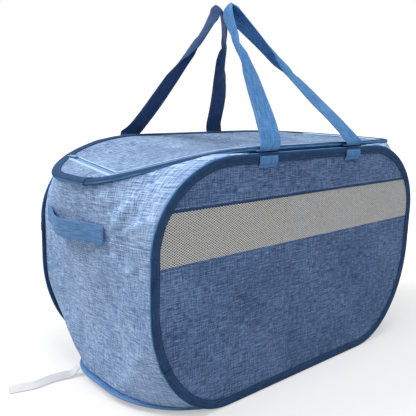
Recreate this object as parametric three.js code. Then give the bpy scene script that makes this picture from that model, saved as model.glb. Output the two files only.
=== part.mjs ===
import * as THREE from "three";

// Pop up laundry hamper: four fabric-bound spring hoops sewn into a box, with a zipped lid,
// a mesh window in each long side, two carry handles and a grab handle at each end.
// Millimetres, +Z up, long side along X, origin on the floor under the middle of the box.

// Driving dimensions
const sideHalfLength = 300;
const sideHeight = 365;
const depth = 300;
const sideTopCornerX = 138;
const sideTopCornerZ = 124;
const sideBottomCornerX = 141;
const sideBottomCornerZ = 178;
const topHalfLength = 333;
const topCornerX = 205;
const topCornerY = 122;
const topDroopLeft = 44;
const topDroopRight = 8;
const topDroopPowerShare = 1.8;
const bottomHalfLength = 289;
const bottomCornerX = 132;
const bottomCornerY = 119;
const bottomEndLift = 11;

// Binding tape, wire and cloth
const bindingDepth = 14;
const bindingHalfThick = 3.4;
const bindingLipHalfThick = 2.3;
const bindingRidge = 4;
const bindingNoseHalfThick = 1.5;
const slotHalfThick = 1.5;
const slotFloor = 2.2;
const wireWidth = 3;
const wireThick = 1.2;
const wireInset = 3.2;
const ferruleWall = 0.3;
const ferruleLength = 26;
const ferruleClear = 0.3;
const clothThick = 1.2;
const clothInset = 9;
const seamGap = 0.3;
const sewGap = 0.3;
const hoopGap = 1.9;
const endTopGap = 3;
const endBottomGap = 0.5;

// Mesh windows
const windowDrop = 66;
const windowHeight = 73;
const netThick = 0.9;
const netColumns = 25;
const netRows = 5;
const netHoleShare = 0.74;
const netHoleRiseShare = 0.46;
const netBorder = 5;

// Lid and zip
const lidHingeSetback = 52.7;
const lidSag = 9;
const lidSweepGap = 0.5;
const zipBackInset = 57;
const zipFrontInset = 33;
const zipFrontSetback = 64.7;
const zipWidth = 3;
const zipThick = 1.8;
const zipGap = 0.3;
const rimTapeWidth = 5;
const sliderLength = 13;
const sliderSetback = 10;
const sliderWidth = 8;
const sliderWall = 1.4;
const pullLength = 24;
const pullWidth = 5.5;
const pullThick = 1.4;
const pullHole = 3;

// Handles and tie
const strapWidth = 37;
const strapThick = 1.8;
const tabDrop = 17;
const tabSpan = 100;
const tabTopDrop = 4;
const foldClear = 0.4;
const handleApexHeight = 210;
const handleApexSetLeft = 54.4;
const backTabShift = 28;
const endHandleLength = 178;
const endHandleCentreY = 23;
const endHandleHeight = 26;
const endHandleDrop = 106;
const endHandleThick = 2;
const endHandleBow = 14;
const endHandleSewn = 16;
const endHandleSeat = 0.8;
const tieWidth = 13;
const tieThick = 1.6;

// Steps that set how fine the curved shapes are
const hoopSteps = 56;
const endSteps = 16;
const endSideSteps = 18;
const netEdgeSteps = 6;
const zipSteps = 40;
const handleSteps = 70;
const tabSteps = 8;
const tieSteps = 24;
const gripSteps = 24;

const halfDepth = depth / 2;
const ringHalfDepth = halfDepth - bindingHalfThick - hoopGap;
const ringTopZ = sideHeight + seamGap + bindingHalfThick + sewGap;
const ringBottomZ = bindingHalfThick;
const windowTop = sideHeight - windowDrop;
const windowBottom = windowTop - windowHeight;
const lidHingeY = ringHalfDepth - lidHingeSetback;
const zipFrontY = ringHalfDepth - zipFrontSetback;
const zipBackX = topHalfLength - zipBackInset;
const zipFrontX = topHalfLength - zipFrontInset;
const endHandleZ = sideHeight - endHandleDrop;

const colours = {
  navy: 0x2d3e5f,
  rimBlue: 0x46618f,
  panelBlue: 0x5f7ea6,
  netWhite: 0xdcdcd8,
  paleBlue: 0xa9b6c9,
  lidBlue: 0xaeb9ca,
  strapBlue: 0x5b7cab,
  handleBlue: 0x54739f,
  steel: 0xb4b7bb,
  zipBlue: 0x8fa3c0,
  pullBlue: 0x3c4d6b,
  tieWhite: 0xe4e2dc,
};

const hamper = new THREE.Group();

function addPiece(name, geometry, colour, roughness = 0.9, metalness = 0) {
  const material = new THREE.MeshStandardMaterial({ color: colour, roughness, metalness });
  const mesh = new THREE.Mesh(geometry, material);
  mesh.name = name;
  hamper.add(mesh);
  return mesh;
}

function v3(x, y, z) {
  return new THREE.Vector3(x, y, z);
}

function lerp(a, b, share) {
  return a + (b - a) * share;
}

function geometryFrom(points, triangles) {
  const geometry = new THREE.BufferGeometry();
  const flat = points.flatMap((p) => [p.x, p.y, p.z]);
  geometry.setAttribute("position", new THREE.Float32BufferAttribute(flat, 3));
  let volume = 0;
  for (const [a, b, c] of triangles) {
    volume += points[a].dot(points[b].clone().cross(points[c]));
  }
  const outward = volume > 0 ? triangles : triangles.map(([a, b, c]) => [a, c, b]);
  geometry.setIndex(outward.flat());
  geometry.computeVertexNormals();
  return geometry;
}

// A closed body swept through sections: each section is a list of points, all of one length.
// A ring joins its last section to its first; an open sweep gets flat ends of triangles.
function sweep(sections, ring, capTriangles = []) {
  const count = sections[0].length;
  const points = sections.flat();
  const triangles = [];
  const last = ring ? sections.length : sections.length - 1;
  for (let i = 0; i < last; i++) {
    const near = i * count;
    const far = ((i + 1) % sections.length) * count;
    for (let j = 0; j < count; j++) {
      const k = (j + 1) % count;
      triangles.push([near + j, far + j, far + k], [near + j, far + k, near + k]);
    }
  }
  if (!ring) {
    const end = (sections.length - 1) * count;
    for (const [a, b, c] of capTriangles) {
      triangles.push([a, b, c], [end + a, end + c, end + b]);
    }
  }
  return geometryFrom(points, triangles);
}

const quadCap = [
  [0, 1, 2],
  [0, 2, 3],
];

// A sheet with a thickness: near(u, v) and far(u, v) give its two faces over a grid of shares.
function sheet(columns, rows, near, far) {
  const points = [];
  for (const face of [near, far]) {
    for (let j = 0; j <= rows; j++) {
      for (let i = 0; i <= columns; i++) {
        points.push(face(i / columns, j / rows));
      }
    }
  }
  const wide = columns + 1;
  const layer = wide * (rows + 1);
  const triangles = [];
  for (let j = 0; j < rows; j++) {
    for (let i = 0; i < columns; i++) {
      const a = j * wide + i;
      const b = a + 1;
      const c = a + wide + 1;
      const d = a + wide;
      triangles.push([a, b, c], [a, c, d]);
      triangles.push([layer + a, layer + c, layer + b], [layer + a, layer + d, layer + c]);
    }
  }
  const rim = [];
  for (let i = 0; i < columns; i++) rim.push(i);
  for (let j = 0; j < rows; j++) rim.push(j * wide + columns);
  for (let i = columns; i > 0; i--) rim.push(rows * wide + i);
  for (let j = rows; j > 0; j--) rim.push(j * wide);
  for (let i = 0; i < rim.length; i++) {
    const a = rim[i];
    const b = rim[(i + 1) % rim.length];
    triangles.push([a, layer + a, layer + b], [a, layer + b, b]);
  }
  return geometryFrom(points, triangles);
}

// The upright side hoop: half of its width at a height, and its outline as a closed loop
function sideHalfWidth(z, inset) {
  const bottomFlat = sideHalfLength - sideBottomCornerX;
  const topFlat = sideHalfLength - sideTopCornerX;
  const topCentre = sideHeight - sideTopCornerZ;
  if (z < sideBottomCornerZ) {
    const rise = Math.min(1, (sideBottomCornerZ - z) / (sideBottomCornerZ - inset));
    return bottomFlat + (sideBottomCornerX - inset) * Math.sqrt(1 - rise * rise);
  }
  if (z > topCentre) {
    const rise = Math.min(1, (z - topCentre) / (sideTopCornerZ - inset));
    return topFlat + (sideTopCornerX - inset) * Math.sqrt(1 - rise * rise);
  }
  return sideHalfLength - inset;
}

// Quarter arcs and the straights between them, as points with the outward direction at each
function roundedLoop(corners, perCorner) {
  const loop = [];
  corners.forEach(([cx, cy, rx, ry, turn]) => {
    for (let i = 0; i <= perCorner; i++) {
      const angle = ((turn + i / perCorner) * Math.PI) / 2;
      const across = new THREE.Vector2(Math.cos(angle), Math.sin(angle));
      const outward = new THREE.Vector2(across.x / rx, across.y / ry).normalize();
      loop.push({ at: new THREE.Vector2(cx + rx * across.x, cy + ry * across.y), outward });
    }
  });
  return loop;
}

const perCorner = hoopSteps / 4 - 1;

const sideLoop = roundedLoop(
  [
    [sideHalfLength - sideTopCornerX, sideHeight - sideTopCornerZ, sideTopCornerX, sideTopCornerZ, 0],
    [sideTopCornerX - sideHalfLength, sideHeight - sideTopCornerZ, sideTopCornerX, sideTopCornerZ, 1],
    [sideBottomCornerX - sideHalfLength, sideBottomCornerZ, sideBottomCornerX, sideBottomCornerZ, 2],
    [sideHalfLength - sideBottomCornerX, sideBottomCornerZ, sideBottomCornerX, sideBottomCornerZ, 3],
  ],
  perCorner
);

function levelLoop(halfLength, cornerX, cornerY) {
  const cx = halfLength - cornerX;
  const cy = ringHalfDepth - cornerY;
  return roundedLoop(
    [
      [cx, cy, cornerX, cornerY, 0],
      [-cx, cy, cornerX, cornerY, 1],
      [-cx, -cy, cornerX, cornerY, 2],
      [cx, -cy, cornerX, cornerY, 3],
    ],
    perCorner
  );
}

function levelHalfLength(y, halfLength, cornerX, cornerY, inset) {
  const past = Math.abs(y) - (ringHalfDepth - cornerY);
  if (past <= 0) return halfLength - inset;
  const share = Math.min(1, past / (cornerY - inset));
  return halfLength - cornerX + (cornerX - inset) * Math.sqrt(1 - share * share);
}

// Height of the top surface's middle, and how far it has drooped, at a distance along X
function topDroop(x) {
  const past = Math.max(0, Math.abs(x) - (topHalfLength - topCornerX)) / topCornerX;
  return (x < 0 ? topDroopLeft : topDroopRight) * past ** topDroopPowerShare;
}

function topZ(x) {
  return ringTopZ - topDroop(x);
}

function topNormal(x) {
  const step = seamGap;
  const slope = (topZ(x + step) - topZ(x - step)) / (2 * step);
  return v3(-slope, 0, 1).normalize();
}

function bottomZ(x) {
  const past = Math.max(0, Math.abs(x) - (bottomHalfLength - bottomCornerX)) / bottomCornerX;
  return ringBottomZ + bottomEndLift * past * past;
}

// Frames round each hoop: a point on the outer edge, the outward direction and the thickness
// direction
function sideFrames(y) {
  return sideLoop.map(({ at, outward }) => ({
    at: v3(at.x, y, at.y),
    out: v3(outward.x, 0, outward.y),
    up: v3(0, 1, 0),
  }));
}

function levelFrames(loop, height, normal) {
  return loop.map(({ at, outward }) => {
    const up = normal(at.x);
    const flat = v3(outward.x, outward.y, 0);
    const out = flat.addScaledVector(up, -flat.dot(up)).normalize();
    return { at: v3(at.x, at.y, height(at.x)), out, up };
  });
}

function bottomNormal(x) {
  const step = seamGap;
  const slope = (bottomZ(x + step) - bottomZ(x - step)) / (2 * step);
  return v3(-slope, 0, 1).normalize();
}

const hoops = {
  front: sideFrames(-halfDepth),
  back: sideFrames(halfDepth),
  top: levelFrames(levelLoop(topHalfLength, topCornerX, topCornerY), topZ, topNormal),
  bottom: levelFrames(levelLoop(bottomHalfLength, bottomCornerX, bottomCornerY), bottomZ, bottomNormal),
};

function sectionAt(frame, outline) {
  return outline.map(([inward, across]) =>
    frame.at.clone().addScaledVector(frame.out, -inward).addScaledVector(frame.up, across)
  );
}

// The folded binding tape, open inwards, where the cloth's edge goes in
const bindingOutline = [
  [bindingDepth, -bindingLipHalfThick],
  [bindingRidge, -bindingHalfThick],
  [0, -bindingNoseHalfThick],
  [0, bindingNoseHalfThick],
  [bindingRidge, bindingHalfThick],
  [bindingDepth, bindingLipHalfThick],
  [bindingDepth, slotHalfThick],
  [slotFloor, slotHalfThick],
  [slotFloor, -slotHalfThick],
  [bindingDepth, -slotHalfThick],
];

function boxOutline(inset, width, thick) {
  return [
    [inset, -thick / 2],
    [inset, thick / 2],
    [inset + width, thick / 2],
    [inset + width, -thick / 2],
  ];
}

function makeBinding(name, colour) {
  const sections = hoops[name].map((frame) => sectionAt(frame, bindingOutline));
  addPiece(`${name}_binding`, sweep(sections, true), colour, 0.85);
}

function makeWire(name) {
  const outline = boxOutline(wireInset, wireWidth, wireThick);
  const sections = hoops[name].map((frame) => sectionAt(frame, outline));
  addPiece(`${name}_hoop_wire`, sweep(sections, true), colours.steel, 0.35, 1);
}

// The crimped sleeve where the wire's ends meet, in the middle of a straight run
function makeFerrule(name) {
  const frames = hoops[name];
  const low = frames[3 * (perCorner + 1) - 1];
  const middle = low.at.clone();
  middle.x = 0;
  const innerInset = wireInset - ferruleClear;
  const innerWidth = wireWidth + 2 * ferruleClear;
  const innerThick = wireThick + 2 * ferruleClear;
  const outerInset = innerInset - ferruleWall;
  const outerWidth = innerWidth + 2 * ferruleWall;
  const outerThick = innerThick + 2 * ferruleWall;
  const sections = [];
  for (const [inset, width, thick, end] of [
    [outerInset, outerWidth, outerThick, -1],
    [outerInset, outerWidth, outerThick, 1],
    [innerInset, innerWidth, innerThick, 1],
    [innerInset, innerWidth, innerThick, -1],
  ]) {
    const frame = { at: middle.clone(), out: low.out, up: low.up };
    frame.at.x = (end * ferruleLength) / 2;
    sections.push(sectionAt(frame, boxOutline(inset, width, thick)));
  }
  addPiece(`${name}_hoop_ferrule`, sweep(sections, true), colours.steel, 0.4, 1);
}

for (const name of ["front", "back", "top", "bottom"]) {
  makeBinding(name, name === "bottom" ? colours.rimBlue : colours.navy);
  makeWire(name);
  makeFerrule(name);
}

// Rows of a side panel lie closer together where the hoop's corner is round
function rowShare(share, dense) {
  const quarterTurn = (share * Math.PI) / 2;
  return dense === "low" ? 1 - Math.cos(quarterTurn) : Math.sin(quarterTurn);
}

function sidePanel(y, low, high, rows, dense) {
  const face = (offset) => (u, v) => {
    const z = lerp(low, high, rowShare(v, dense));
    const half = sideHalfWidth(z, clothInset);
    return v3(lerp(-half, half, u), y + offset, z);
  };
  return sheet(2, rows, face(-clothThick / 2), face(clothThick / 2));
}

// The net: a plate with staggered diamond holes
function netGeometry(y) {
  const low = windowBottom + seamGap;
  const high = windowTop - seamGap;
  const outline = [];
  for (let i = 0; i <= netEdgeSteps; i++) {
    const z = lerp(low, high, i / netEdgeSteps);
    outline.push(new THREE.Vector2(sideHalfWidth(z, clothInset), z));
  }
  for (let i = netEdgeSteps; i >= 0; i--) {
    const z = lerp(low, high, i / netEdgeSteps);
    outline.push(new THREE.Vector2(-sideHalfWidth(z, clothInset), z));
  }
  const shape = new THREE.Shape(outline);
  const pitchX = (2 * (sideHalfWidth(high, clothInset) - bindingDepth)) / netColumns;
  const pitchZ = (high - low - 2 * netBorder) / netRows;
  for (let row = 0; row < netRows; row++) {
    const shift = row % 2 === 0 ? 0 : 1 / 2;
    for (let column = 0; column < netColumns - (row % 2); column++) {
      const x = (column + 1 / 2 + shift - netColumns / 2) * pitchX;
      const z = low + netBorder + (row + 1 / 2) * pitchZ;
      const halfX = (pitchX * netHoleShare) / 2;
      const halfZ = pitchZ * netHoleRiseShare;
      const hole = new THREE.Path([
        new THREE.Vector2(x - halfX, z),
        new THREE.Vector2(x, z - halfZ),
        new THREE.Vector2(x + halfX, z),
        new THREE.Vector2(x, z + halfZ),
      ]);
      shape.holes.push(hole);
    }
  }
  const geometry = new THREE.ExtrudeGeometry(shape, { depth: netThick, bevelEnabled: false });
  geometry.rotateX(Math.PI / 2);
  geometry.translate(0, y + netThick / 2, 0);
  return geometry;
}

for (const [name, y] of [["front", -halfDepth], ["back", halfDepth]]) {
  const panelTop = sideHeight - clothInset;
  const lower = sidePanel(y, clothInset, windowBottom, 9, "low");
  addPiece(`${name}_panel_lower`, lower, colours.panelBlue);
  const upper = sidePanel(y, windowTop, panelTop, 5, "high");
  addPiece(`${name}_panel_upper`, upper, colours.panelBlue);
  addPiece(`${name}_mesh_window`, netGeometry(y), colours.netWhite);
}

// Base cloth, its edge inside the bottom binding
function levelSheet(columns, rows, plan, height, thick) {
  const face = (offset) => (u, v) => {
    const at = plan(u, v);
    return v3(at.x, at.y, height(at.x, u, v) + offset);
  };
  return sheet(columns, rows, face(-thick / 2), face(thick / 2));
}

function basePlan(u, v) {
  const y = Math.sin((v - 1 / 2) * Math.PI) * (ringHalfDepth - clothInset);
  const half = levelHalfLength(y, bottomHalfLength, bottomCornerX, bottomCornerY, clothInset);
  return new THREE.Vector2(Math.sin((u - 1 / 2) * Math.PI) * half, y);
}

const base = levelSheet(14, 12, basePlan, bottomZ, clothThick);
addPiece("bottom_panel", base, colours.paleBlue);

// The top: a U of zip inside the rim, open at the back, where the lid's cloth bends
const borderInset = clothInset;

function rimY(x, inset) {
  const past = Math.abs(x) - (topHalfLength - topCornerX);
  if (past <= 0) return ringHalfDepth - inset;
  const share = Math.min(1, past / (topCornerX - inset));
  return ringHalfDepth - topCornerY + (topCornerY - inset) * Math.sqrt(1 - share * share);
}

// The zip's left and right runs as half-lengths, from the back corner to the front corner
function zipX(y) {
  const share = (lidHingeY - y) / (lidHingeY + zipFrontY);
  return lerp(zipBackX, zipFrontX, share);
}

const frontZipInset = bindingDepth + rimTapeWidth;

function frontZipY(x) {
  return -rimY(x, frontZipInset);
}

function frontCornerX(offset) {
  let x = zipFrontX;
  for (let i = 0; i < hoopSteps; i++) {
    x = zipX(frontZipY(x)) - offset;
  }
  return x;
}

// A band that follows the zip's line at an offset towards the lid, as points along it
function zipLine(offset, count) {
  const corner = frontCornerX(offset);
  const path = [];
  const sideCount = Math.round(count / 4);
  const cornerY = frontZipY(corner) + offset;
  for (let i = 0; i < sideCount; i++) {
    const y = lerp(lidHingeY, cornerY, i / sideCount);
    path.push(new THREE.Vector2(-(zipX(y) - offset), y));
  }
  const frontCount = count - 2 * sideCount;
  for (let i = 0; i <= frontCount; i++) {
    const x = -corner * Math.cos((i / frontCount) * Math.PI);
    path.push(new THREE.Vector2(x, frontZipY(x) + offset));
  }
  for (let i = sideCount - 1; i >= 0; i--) {
    const y = lerp(lidHingeY, cornerY, i / sideCount);
    path.push(new THREE.Vector2(zipX(y) - offset, y));
  }
  return path;
}

function zipBand(inner, outer) {
  const near = zipLine(inner, zipSteps);
  const far = zipLine(outer, zipSteps);
  const sections = near.map((a, i) => {
    const b = far[i];
    const lowA = v3(a.x, a.y, topZ(a.x) - zipThick / 2);
    const lowB = v3(b.x, b.y, topZ(b.x) - zipThick / 2);
    const highB = v3(b.x, b.y, topZ(b.x) + zipThick / 2);
    const highA = v3(a.x, a.y, topZ(a.x) + zipThick / 2);
    return [lowA, lowB, highB, highA];
  });
  return sweep(sections, false, quadCap);
}

const zipHalf = zipGap / 2;
const rimTeeth = zipBand(-zipHalf - zipWidth, -zipHalf);
addPiece("zip_chain_rim_half", rimTeeth, colours.zipBlue, 0.5);
const lidTeeth = zipBand(zipHalf, zipHalf + zipWidth);
addPiece("zip_chain_lid_half", lidTeeth, colours.zipBlue, 0.5);

// Cloth between the binding and the zip: one piece at each end, one along the front and one
// behind the lid's hinge line
const tapeOuter = zipHalf + zipWidth + zipGap;

function endBorderPlan(sign) {
  return (u, v) => {
    const cornerY = frontZipY(frontCornerX(0));
    const y = lerp(lidHingeY, cornerY - zipGap, v);
    const inner = zipX(y) + tapeOuter;
    const outer = levelHalfLength(y, topHalfLength, topCornerX, topCornerY, borderInset);
    return new THREE.Vector2(sign * lerp(inner, Math.max(outer, inner + zipGap), u), y);
  };
}

for (const [name, sign] of [["left", -1], ["right", 1]]) {
  const border = levelSheet(2, 12, endBorderPlan(sign), topZ, clothThick);
  addPiece(`top_border_${name}`, border, colours.lidBlue);
}

function frontBorderPlan(u, v) {
  const half = frontCornerX(-tapeOuter) - bindingDepth;
  const x = -half * Math.cos(u * Math.PI);
  return new THREE.Vector2(x, lerp(frontZipY(x) - tapeOuter, -rimY(x, borderInset), v));
}

addPiece("top_border_front", levelSheet(28, 1, frontBorderPlan, topZ, clothThick), colours.lidBlue);

function backBorderPlan(u, v) {
  const half = zipBackX + tapeOuter - bindingDepth;
  const x = -half * Math.cos(u * Math.PI);
  const back = Math.max(rimY(x, borderInset), lidHingeY + 2 * lidSweepGap);
  return new THREE.Vector2(x, lerp(lidHingeY + lidSweepGap, back, v));
}

addPiece("top_border_back", levelSheet(24, 3, backBorderPlan, topZ, clothThick), colours.lidBlue);

function lidPlan(u, v) {
  const offset = zipHalf + zipWidth + 2 * zipGap;
  const corner = frontCornerX(offset);
  const cornerY = frontZipY(corner) + offset;
  const frontX = -corner * Math.cos(u * Math.PI);
  const frontY = frontZipY(frontX) + offset;
  const sideY = lerp(lidHingeY, cornerY, v);
  const half = zipX(sideY) - offset;
  return new THREE.Vector2((frontX / corner) * half, lerp(lidHingeY, frontY, v));
}

function lidHeight(x, u, v) {
  return topZ(x) - lidSag * Math.sin(u * Math.PI) * Math.sin(v * Math.PI);
}

addPiece("lid_panel", levelSheet(28, 6, lidPlan, lidHeight, clothThick), colours.lidBlue);

// Zip slider and its pull, at the back end of the left run
const sliderY = lidHingeY - sliderSetback - sliderLength / 2;
const sliderX = -zipX(sliderY);
const sliderZ = topZ(sliderX) + zipThick / 2 + zipGap + sliderWall / 2;
const slider = new THREE.BoxGeometry(sliderWidth, sliderLength, sliderWall);
const sliderTilt = Math.atan2(topNormal(sliderX).x, topNormal(sliderX).z);
const sliderMesh = addPiece("zip_slider", slider, colours.pullBlue, 0.4, 0.6);
sliderMesh.rotation.set(0, sliderTilt, 0);
sliderMesh.position.set(sliderX, sliderY, sliderZ);

const pullShape = new THREE.Shape();
pullShape.moveTo(-pullWidth / 2, 0);
pullShape.lineTo(pullWidth / 2, 0);
pullShape.lineTo(pullWidth / 2, pullLength - pullWidth / 2);
pullShape.absarc(0, pullLength - pullWidth / 2, pullWidth / 2, 0, Math.PI, false);
pullShape.lineTo(-pullWidth / 2, 0);
const pullEye = new THREE.Path();
pullEye.absarc(0, pullLength - pullWidth / 2, pullHole / 2, 0, 2 * Math.PI, true);
pullShape.holes.push(pullEye);
const pull = new THREE.ExtrudeGeometry(pullShape, {
  depth: pullThick,
  bevelEnabled: false,
  curveSegments: 8,
});
const pullMesh = addPiece("zip_pull", pull, colours.pullBlue, 0.5, 0.3);
pullMesh.rotation.set(0, sliderTilt, 0);
const pullLift = sliderWall / 2 + sewGap;
pullMesh.position.set(
  sliderX + pullLift * Math.sin(sliderTilt),
  sliderY - sliderLength / 2,
  sliderZ + pullLift * Math.cos(sliderTilt)
);

// Ribbon along a path. widthAt gives the direction of its width at a share of the path, and
// the direction's length is the share of the full width that the ribbon has there.
function ribbon(points, widthAt, width, thick, steps) {
  const curve = new THREE.CatmullRomCurve3(points, false, "centripetal");
  const sections = [];
  for (let i = 0; i <= steps; i++) {
    const at = curve.getPointAt(i / steps);
    const along = curve.getTangentAt(i / steps).normalize();
    const across = widthAt(i / steps);
    const share = across.length();
    across.addScaledVector(along, -across.dot(along)).setLength(share);
    const face = along.clone().cross(across).normalize();
    const corner = (w, t) =>
      at.clone().addScaledVector(across, (w * width) / 2).addScaledVector(face, (t * thick) / 2);
    sections.push([corner(-1, -1), corner(1, -1), corner(1, 1), corner(-1, 1)]);
  }
  return sweep(sections, false, quadCap);
}

// Carry handles: each loop starts above its tabs, leans in and twists at the top, where the
// two loops rest on each other
const strapFace = halfDepth + bindingHalfThick + sewGap + strapThick / 2;
const tabBendShare = 0.1;
const foldRise = strapFace + strapThick / 2 - halfDepth;
const handleFootZ = sideHeight - tabTopDrop + foldRise + foldClear + strapThick / 2;
const riseShares = [0.07, 0.17, 0.33, 0.5, 0.65, 0.8, 0.93];
const leanShares = [0.03, 0.13, 0.31, 0.49, 0.645, 0.8, 0.93];
const driftShares = {
  front: {
    left: [0.13, 0.26, 0.47, 0.6, 0.62, 0.68, 0.84],
    right: [0.055, 0.155, 0.311, 0.476, 0.63, 0.786, 0.929],
  },
  back: {
    left: [0.15, 0.28, 0.43, 0.56, 0.7, 0.845, 0.94],
    right: [0.05, 0.122, 0.248, 0.406, 0.531, 0.675, 0.83],
  },
};
const footInwardShares = [1, 0.62, 0.26, 0.02];
const footRiseShares = [0, 0, 0.12, 0.62];
const footRise = 5;
const footEndY = ringHalfDepth + 2 * sewGap;
const apexX = -handleApexSetLeft;
const apexGap = 10.5;

function tabX(name, sign) {
  return sign * tabSpan - (name === "back" ? backTabShift : 0);
}

function handlePoints(name, side) {
  const lean = strapFace - apexGap;
  const leg = (sign, drift) =>
    leanShares.map((share, i) => {
      const x = lerp(tabX(name, sign), apexX, drift[i]);
      const y = side * (strapFace - share * lean);
      return v3(x, y, handleFootZ + riseShares[i] * handleApexHeight);
    });
  const foot = (sign) =>
    footInwardShares.map((share, i) => {
      const y = side * lerp(strapFace, footEndY, share);
      return v3(tabX(name, sign), y, handleFootZ + footRiseShares[i] * footRise);
    });
  const left = [...foot(-1), ...leg(-1, driftShares[name].left)];
  const right = [...foot(1), ...leg(1, driftShares[name].right)];
  const apex = v3(apexX, side * apexGap, handleFootZ + handleApexHeight);
  return [...left, apex, ...right.reverse()];
}

// The strap's width lies along X on the lower part of both legs. Higher up each leg takes a
// quarter turn, so that the strap lies across the plane that it bends in at the top, where it is
// also gathered narrower.
const turnShares = {
  front: {
    left: [-0.05, -0.06, 0.01, 0.08, 0.25, 0.66, 0.78],
    right: [0.02, 0.03, 0.05, 0.11, 0.6, 0.69, 0.78],
  },
  back: {
    left: [0.02, 0.03, 0.05, 0.09, 0.22, 0.66, 0.75],
    right: [0.02, 0.03, 0.06, 0.14, 0.32, 0.72, 0.82],
  },
};
const apexNarrowShare = 0.45;
const narrowTurnShares = [0.8, 1];

function handleWidth(name, side, path) {
  const flat = v3(0, -handleApexHeight, -side * (strapFace - apexGap)).normalize();
  const still = footInwardShares.map(() => 0);
  const { left, right } = turnShares[name];
  const turns = [...still, ...left, 1, ...[...still, ...right].reverse()];
  const runs = [0];
  path.slice(1).forEach((point, i) => runs.push(runs[i] + point.distanceTo(path[i])));
  const length = runs[runs.length - 1];
  return (share) => {
    const next = Math.max(runs.findIndex((run) => run >= share * length), 1);
    const along = (share * length - runs[next - 1]) / (runs[next] - runs[next - 1]);
    const turned = lerp(turns[next - 1], turns[next], along);
    const turn = (turned * Math.PI) / 2;
    const narrow = 1 - apexNarrowShare * THREE.MathUtils.smoothstep(turned, ...narrowTurnShares);
    return v3(Math.cos(turn), 0, 0).addScaledVector(flat, -Math.sin(turn)).multiplyScalar(narrow);
  };
}

for (const [name, side] of [["front", -1], ["back", 1]]) {
  const path = handlePoints(name, side);
  const width = handleWidth(name, side, path);
  const handle = ribbon(path, width, strapWidth, strapThick, handleSteps);
  addPiece(`${name}_handle`, handle, colours.handleBlue);
  for (const [end, sign] of [["left", -1], ["right", 1]]) {
    const foot = sideHeight - tabTopDrop - tabDrop;
    const clear = halfDepth + clothThick / 2 + sewGap + strapThick / 2;
    const lipZ = sideHeight - bindingDepth - sewGap;
    const bendY = lerp(clear, strapFace, tabBendShare);
    const x = tabX(name, sign);
    const tabPath = [
      v3(x, side * clear, foot),
      v3(x, side * bendY, (foot + lipZ) / 2),
      v3(x, side * strapFace, lipZ),
      v3(x, side * strapFace, sideHeight - tabTopDrop),
    ];
    const tab = ribbon(tabPath, () => v3(1, 0, 0), strapWidth, strapThick, tabSteps);
    addPiece(`${name}_strap_tab_${end}`, tab, colours.strapBlue);
  }
}

// End cloth: it rolls over the corners between the hoops and is nearly flat in the middle
const endEdgeInset = 6;
const endSideY = halfDepth - bindingHalfThick - sewGap;

function roll(side, rise, reachY, reachZ, levelStart, levelRadius, sideStart, sideRadius) {
  const across = side / reachY;
  const up = rise / reachZ;
  const sum = across + up;
  const share = sum > 0 ? up / sum : 1;
  const start = lerp(levelStart, sideStart, share);
  const radius = lerp(levelRadius, sideRadius, share);
  const past = 1 - Math.min(1, sum);
  return start + radius * Math.sqrt(1 - past * past);
}

function endEdges(y, sign) {
  const lowEdge = levelHalfLength(y, bottomHalfLength, bottomCornerX, bottomCornerY, endEdgeInset);
  const highEdge = levelHalfLength(y, topHalfLength, topCornerX, topCornerY, endEdgeInset);
  const lowZ = bottomZ(lowEdge) + bindingHalfThick / bottomNormal(lowEdge).z + endBottomGap;
  const highZ = topZ(sign * highEdge) - bindingHalfThick / topNormal(sign * highEdge).z - endTopGap;
  return { lowZ, highZ };
}

function endReach(y, z, sign) {
  const side = endSideY - Math.abs(y);
  const { lowZ, highZ } = endEdges(y, sign);
  const below = roll(
    side,
    z - lowZ,
    bottomCornerY,
    sideBottomCornerZ - endEdgeInset,
    bottomHalfLength - bottomCornerX,
    bottomCornerX - endEdgeInset,
    sideHalfLength - sideBottomCornerX,
    sideBottomCornerX - endEdgeInset
  );
  const above = roll(
    side,
    highZ - z,
    topCornerY,
    sideTopCornerZ - endEdgeInset,
    topHalfLength - topCornerX,
    topCornerX - endEdgeInset,
    sideHalfLength - sideTopCornerX,
    sideTopCornerX - endEdgeInset
  );
  const low = (z - lowZ) ** 3;
  const high = (highZ - z) ** 3;
  return lerp(below, above, low / (low + high));
}

for (const [name, sign] of [["left", -1], ["right", 1]]) {
  const face = (offset) => (u, v) => {
    const y = Math.sin((u - 1 / 2) * Math.PI) * endSideY;
    const share = (1 - Math.cos(v * Math.PI)) / 2;
    const { lowZ, highZ } = endEdges(y, sign);
    const z = lerp(lowZ, highZ, share);
    return v3(sign * (endReach(y, z, sign) - offset), y, z);
  };
  const cloth = sheet(endSideSteps, endSteps, face(0), face(2 * clothThick));
  addPiece(`${name}_end_panel`, cloth, colours.paleBlue);

  // Grab handle: a bowed strap, its two ends sewn flat to the end cloth
  const low = endHandleCentreY - endHandleLength / 2;
  const high = endHandleCentreY + endHandleLength / 2;
  const grip = (offset) => (u, v) => {
    const y = lerp(low, high, u);
    const z = endHandleZ + (v - 1 / 2) * endHandleHeight;
    const steps = [-1 / 2, 0, 1 / 2];
    const heights = steps.map((step) => endHandleZ + step * endHandleHeight);
    const reach = Math.max(...heights.map((height) => endReach(y, height, sign)));
    const free = (endHandleLength - 2 * endHandleSewn) / endHandleLength;
    const along = Math.max(0, Math.min(1, (u - (1 - free) / 2) / free));
    const bow = endHandleBow * Math.sin(along * Math.PI) ** 2;
    return v3(sign * (reach + endHandleSeat + bow + offset), y, z);
  };
  const handle = sheet(gripSteps, 1, grip(0), grip(endHandleThick));
  addPiece(`${name}_side_handle`, handle, colours.strapBlue);
}

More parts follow.
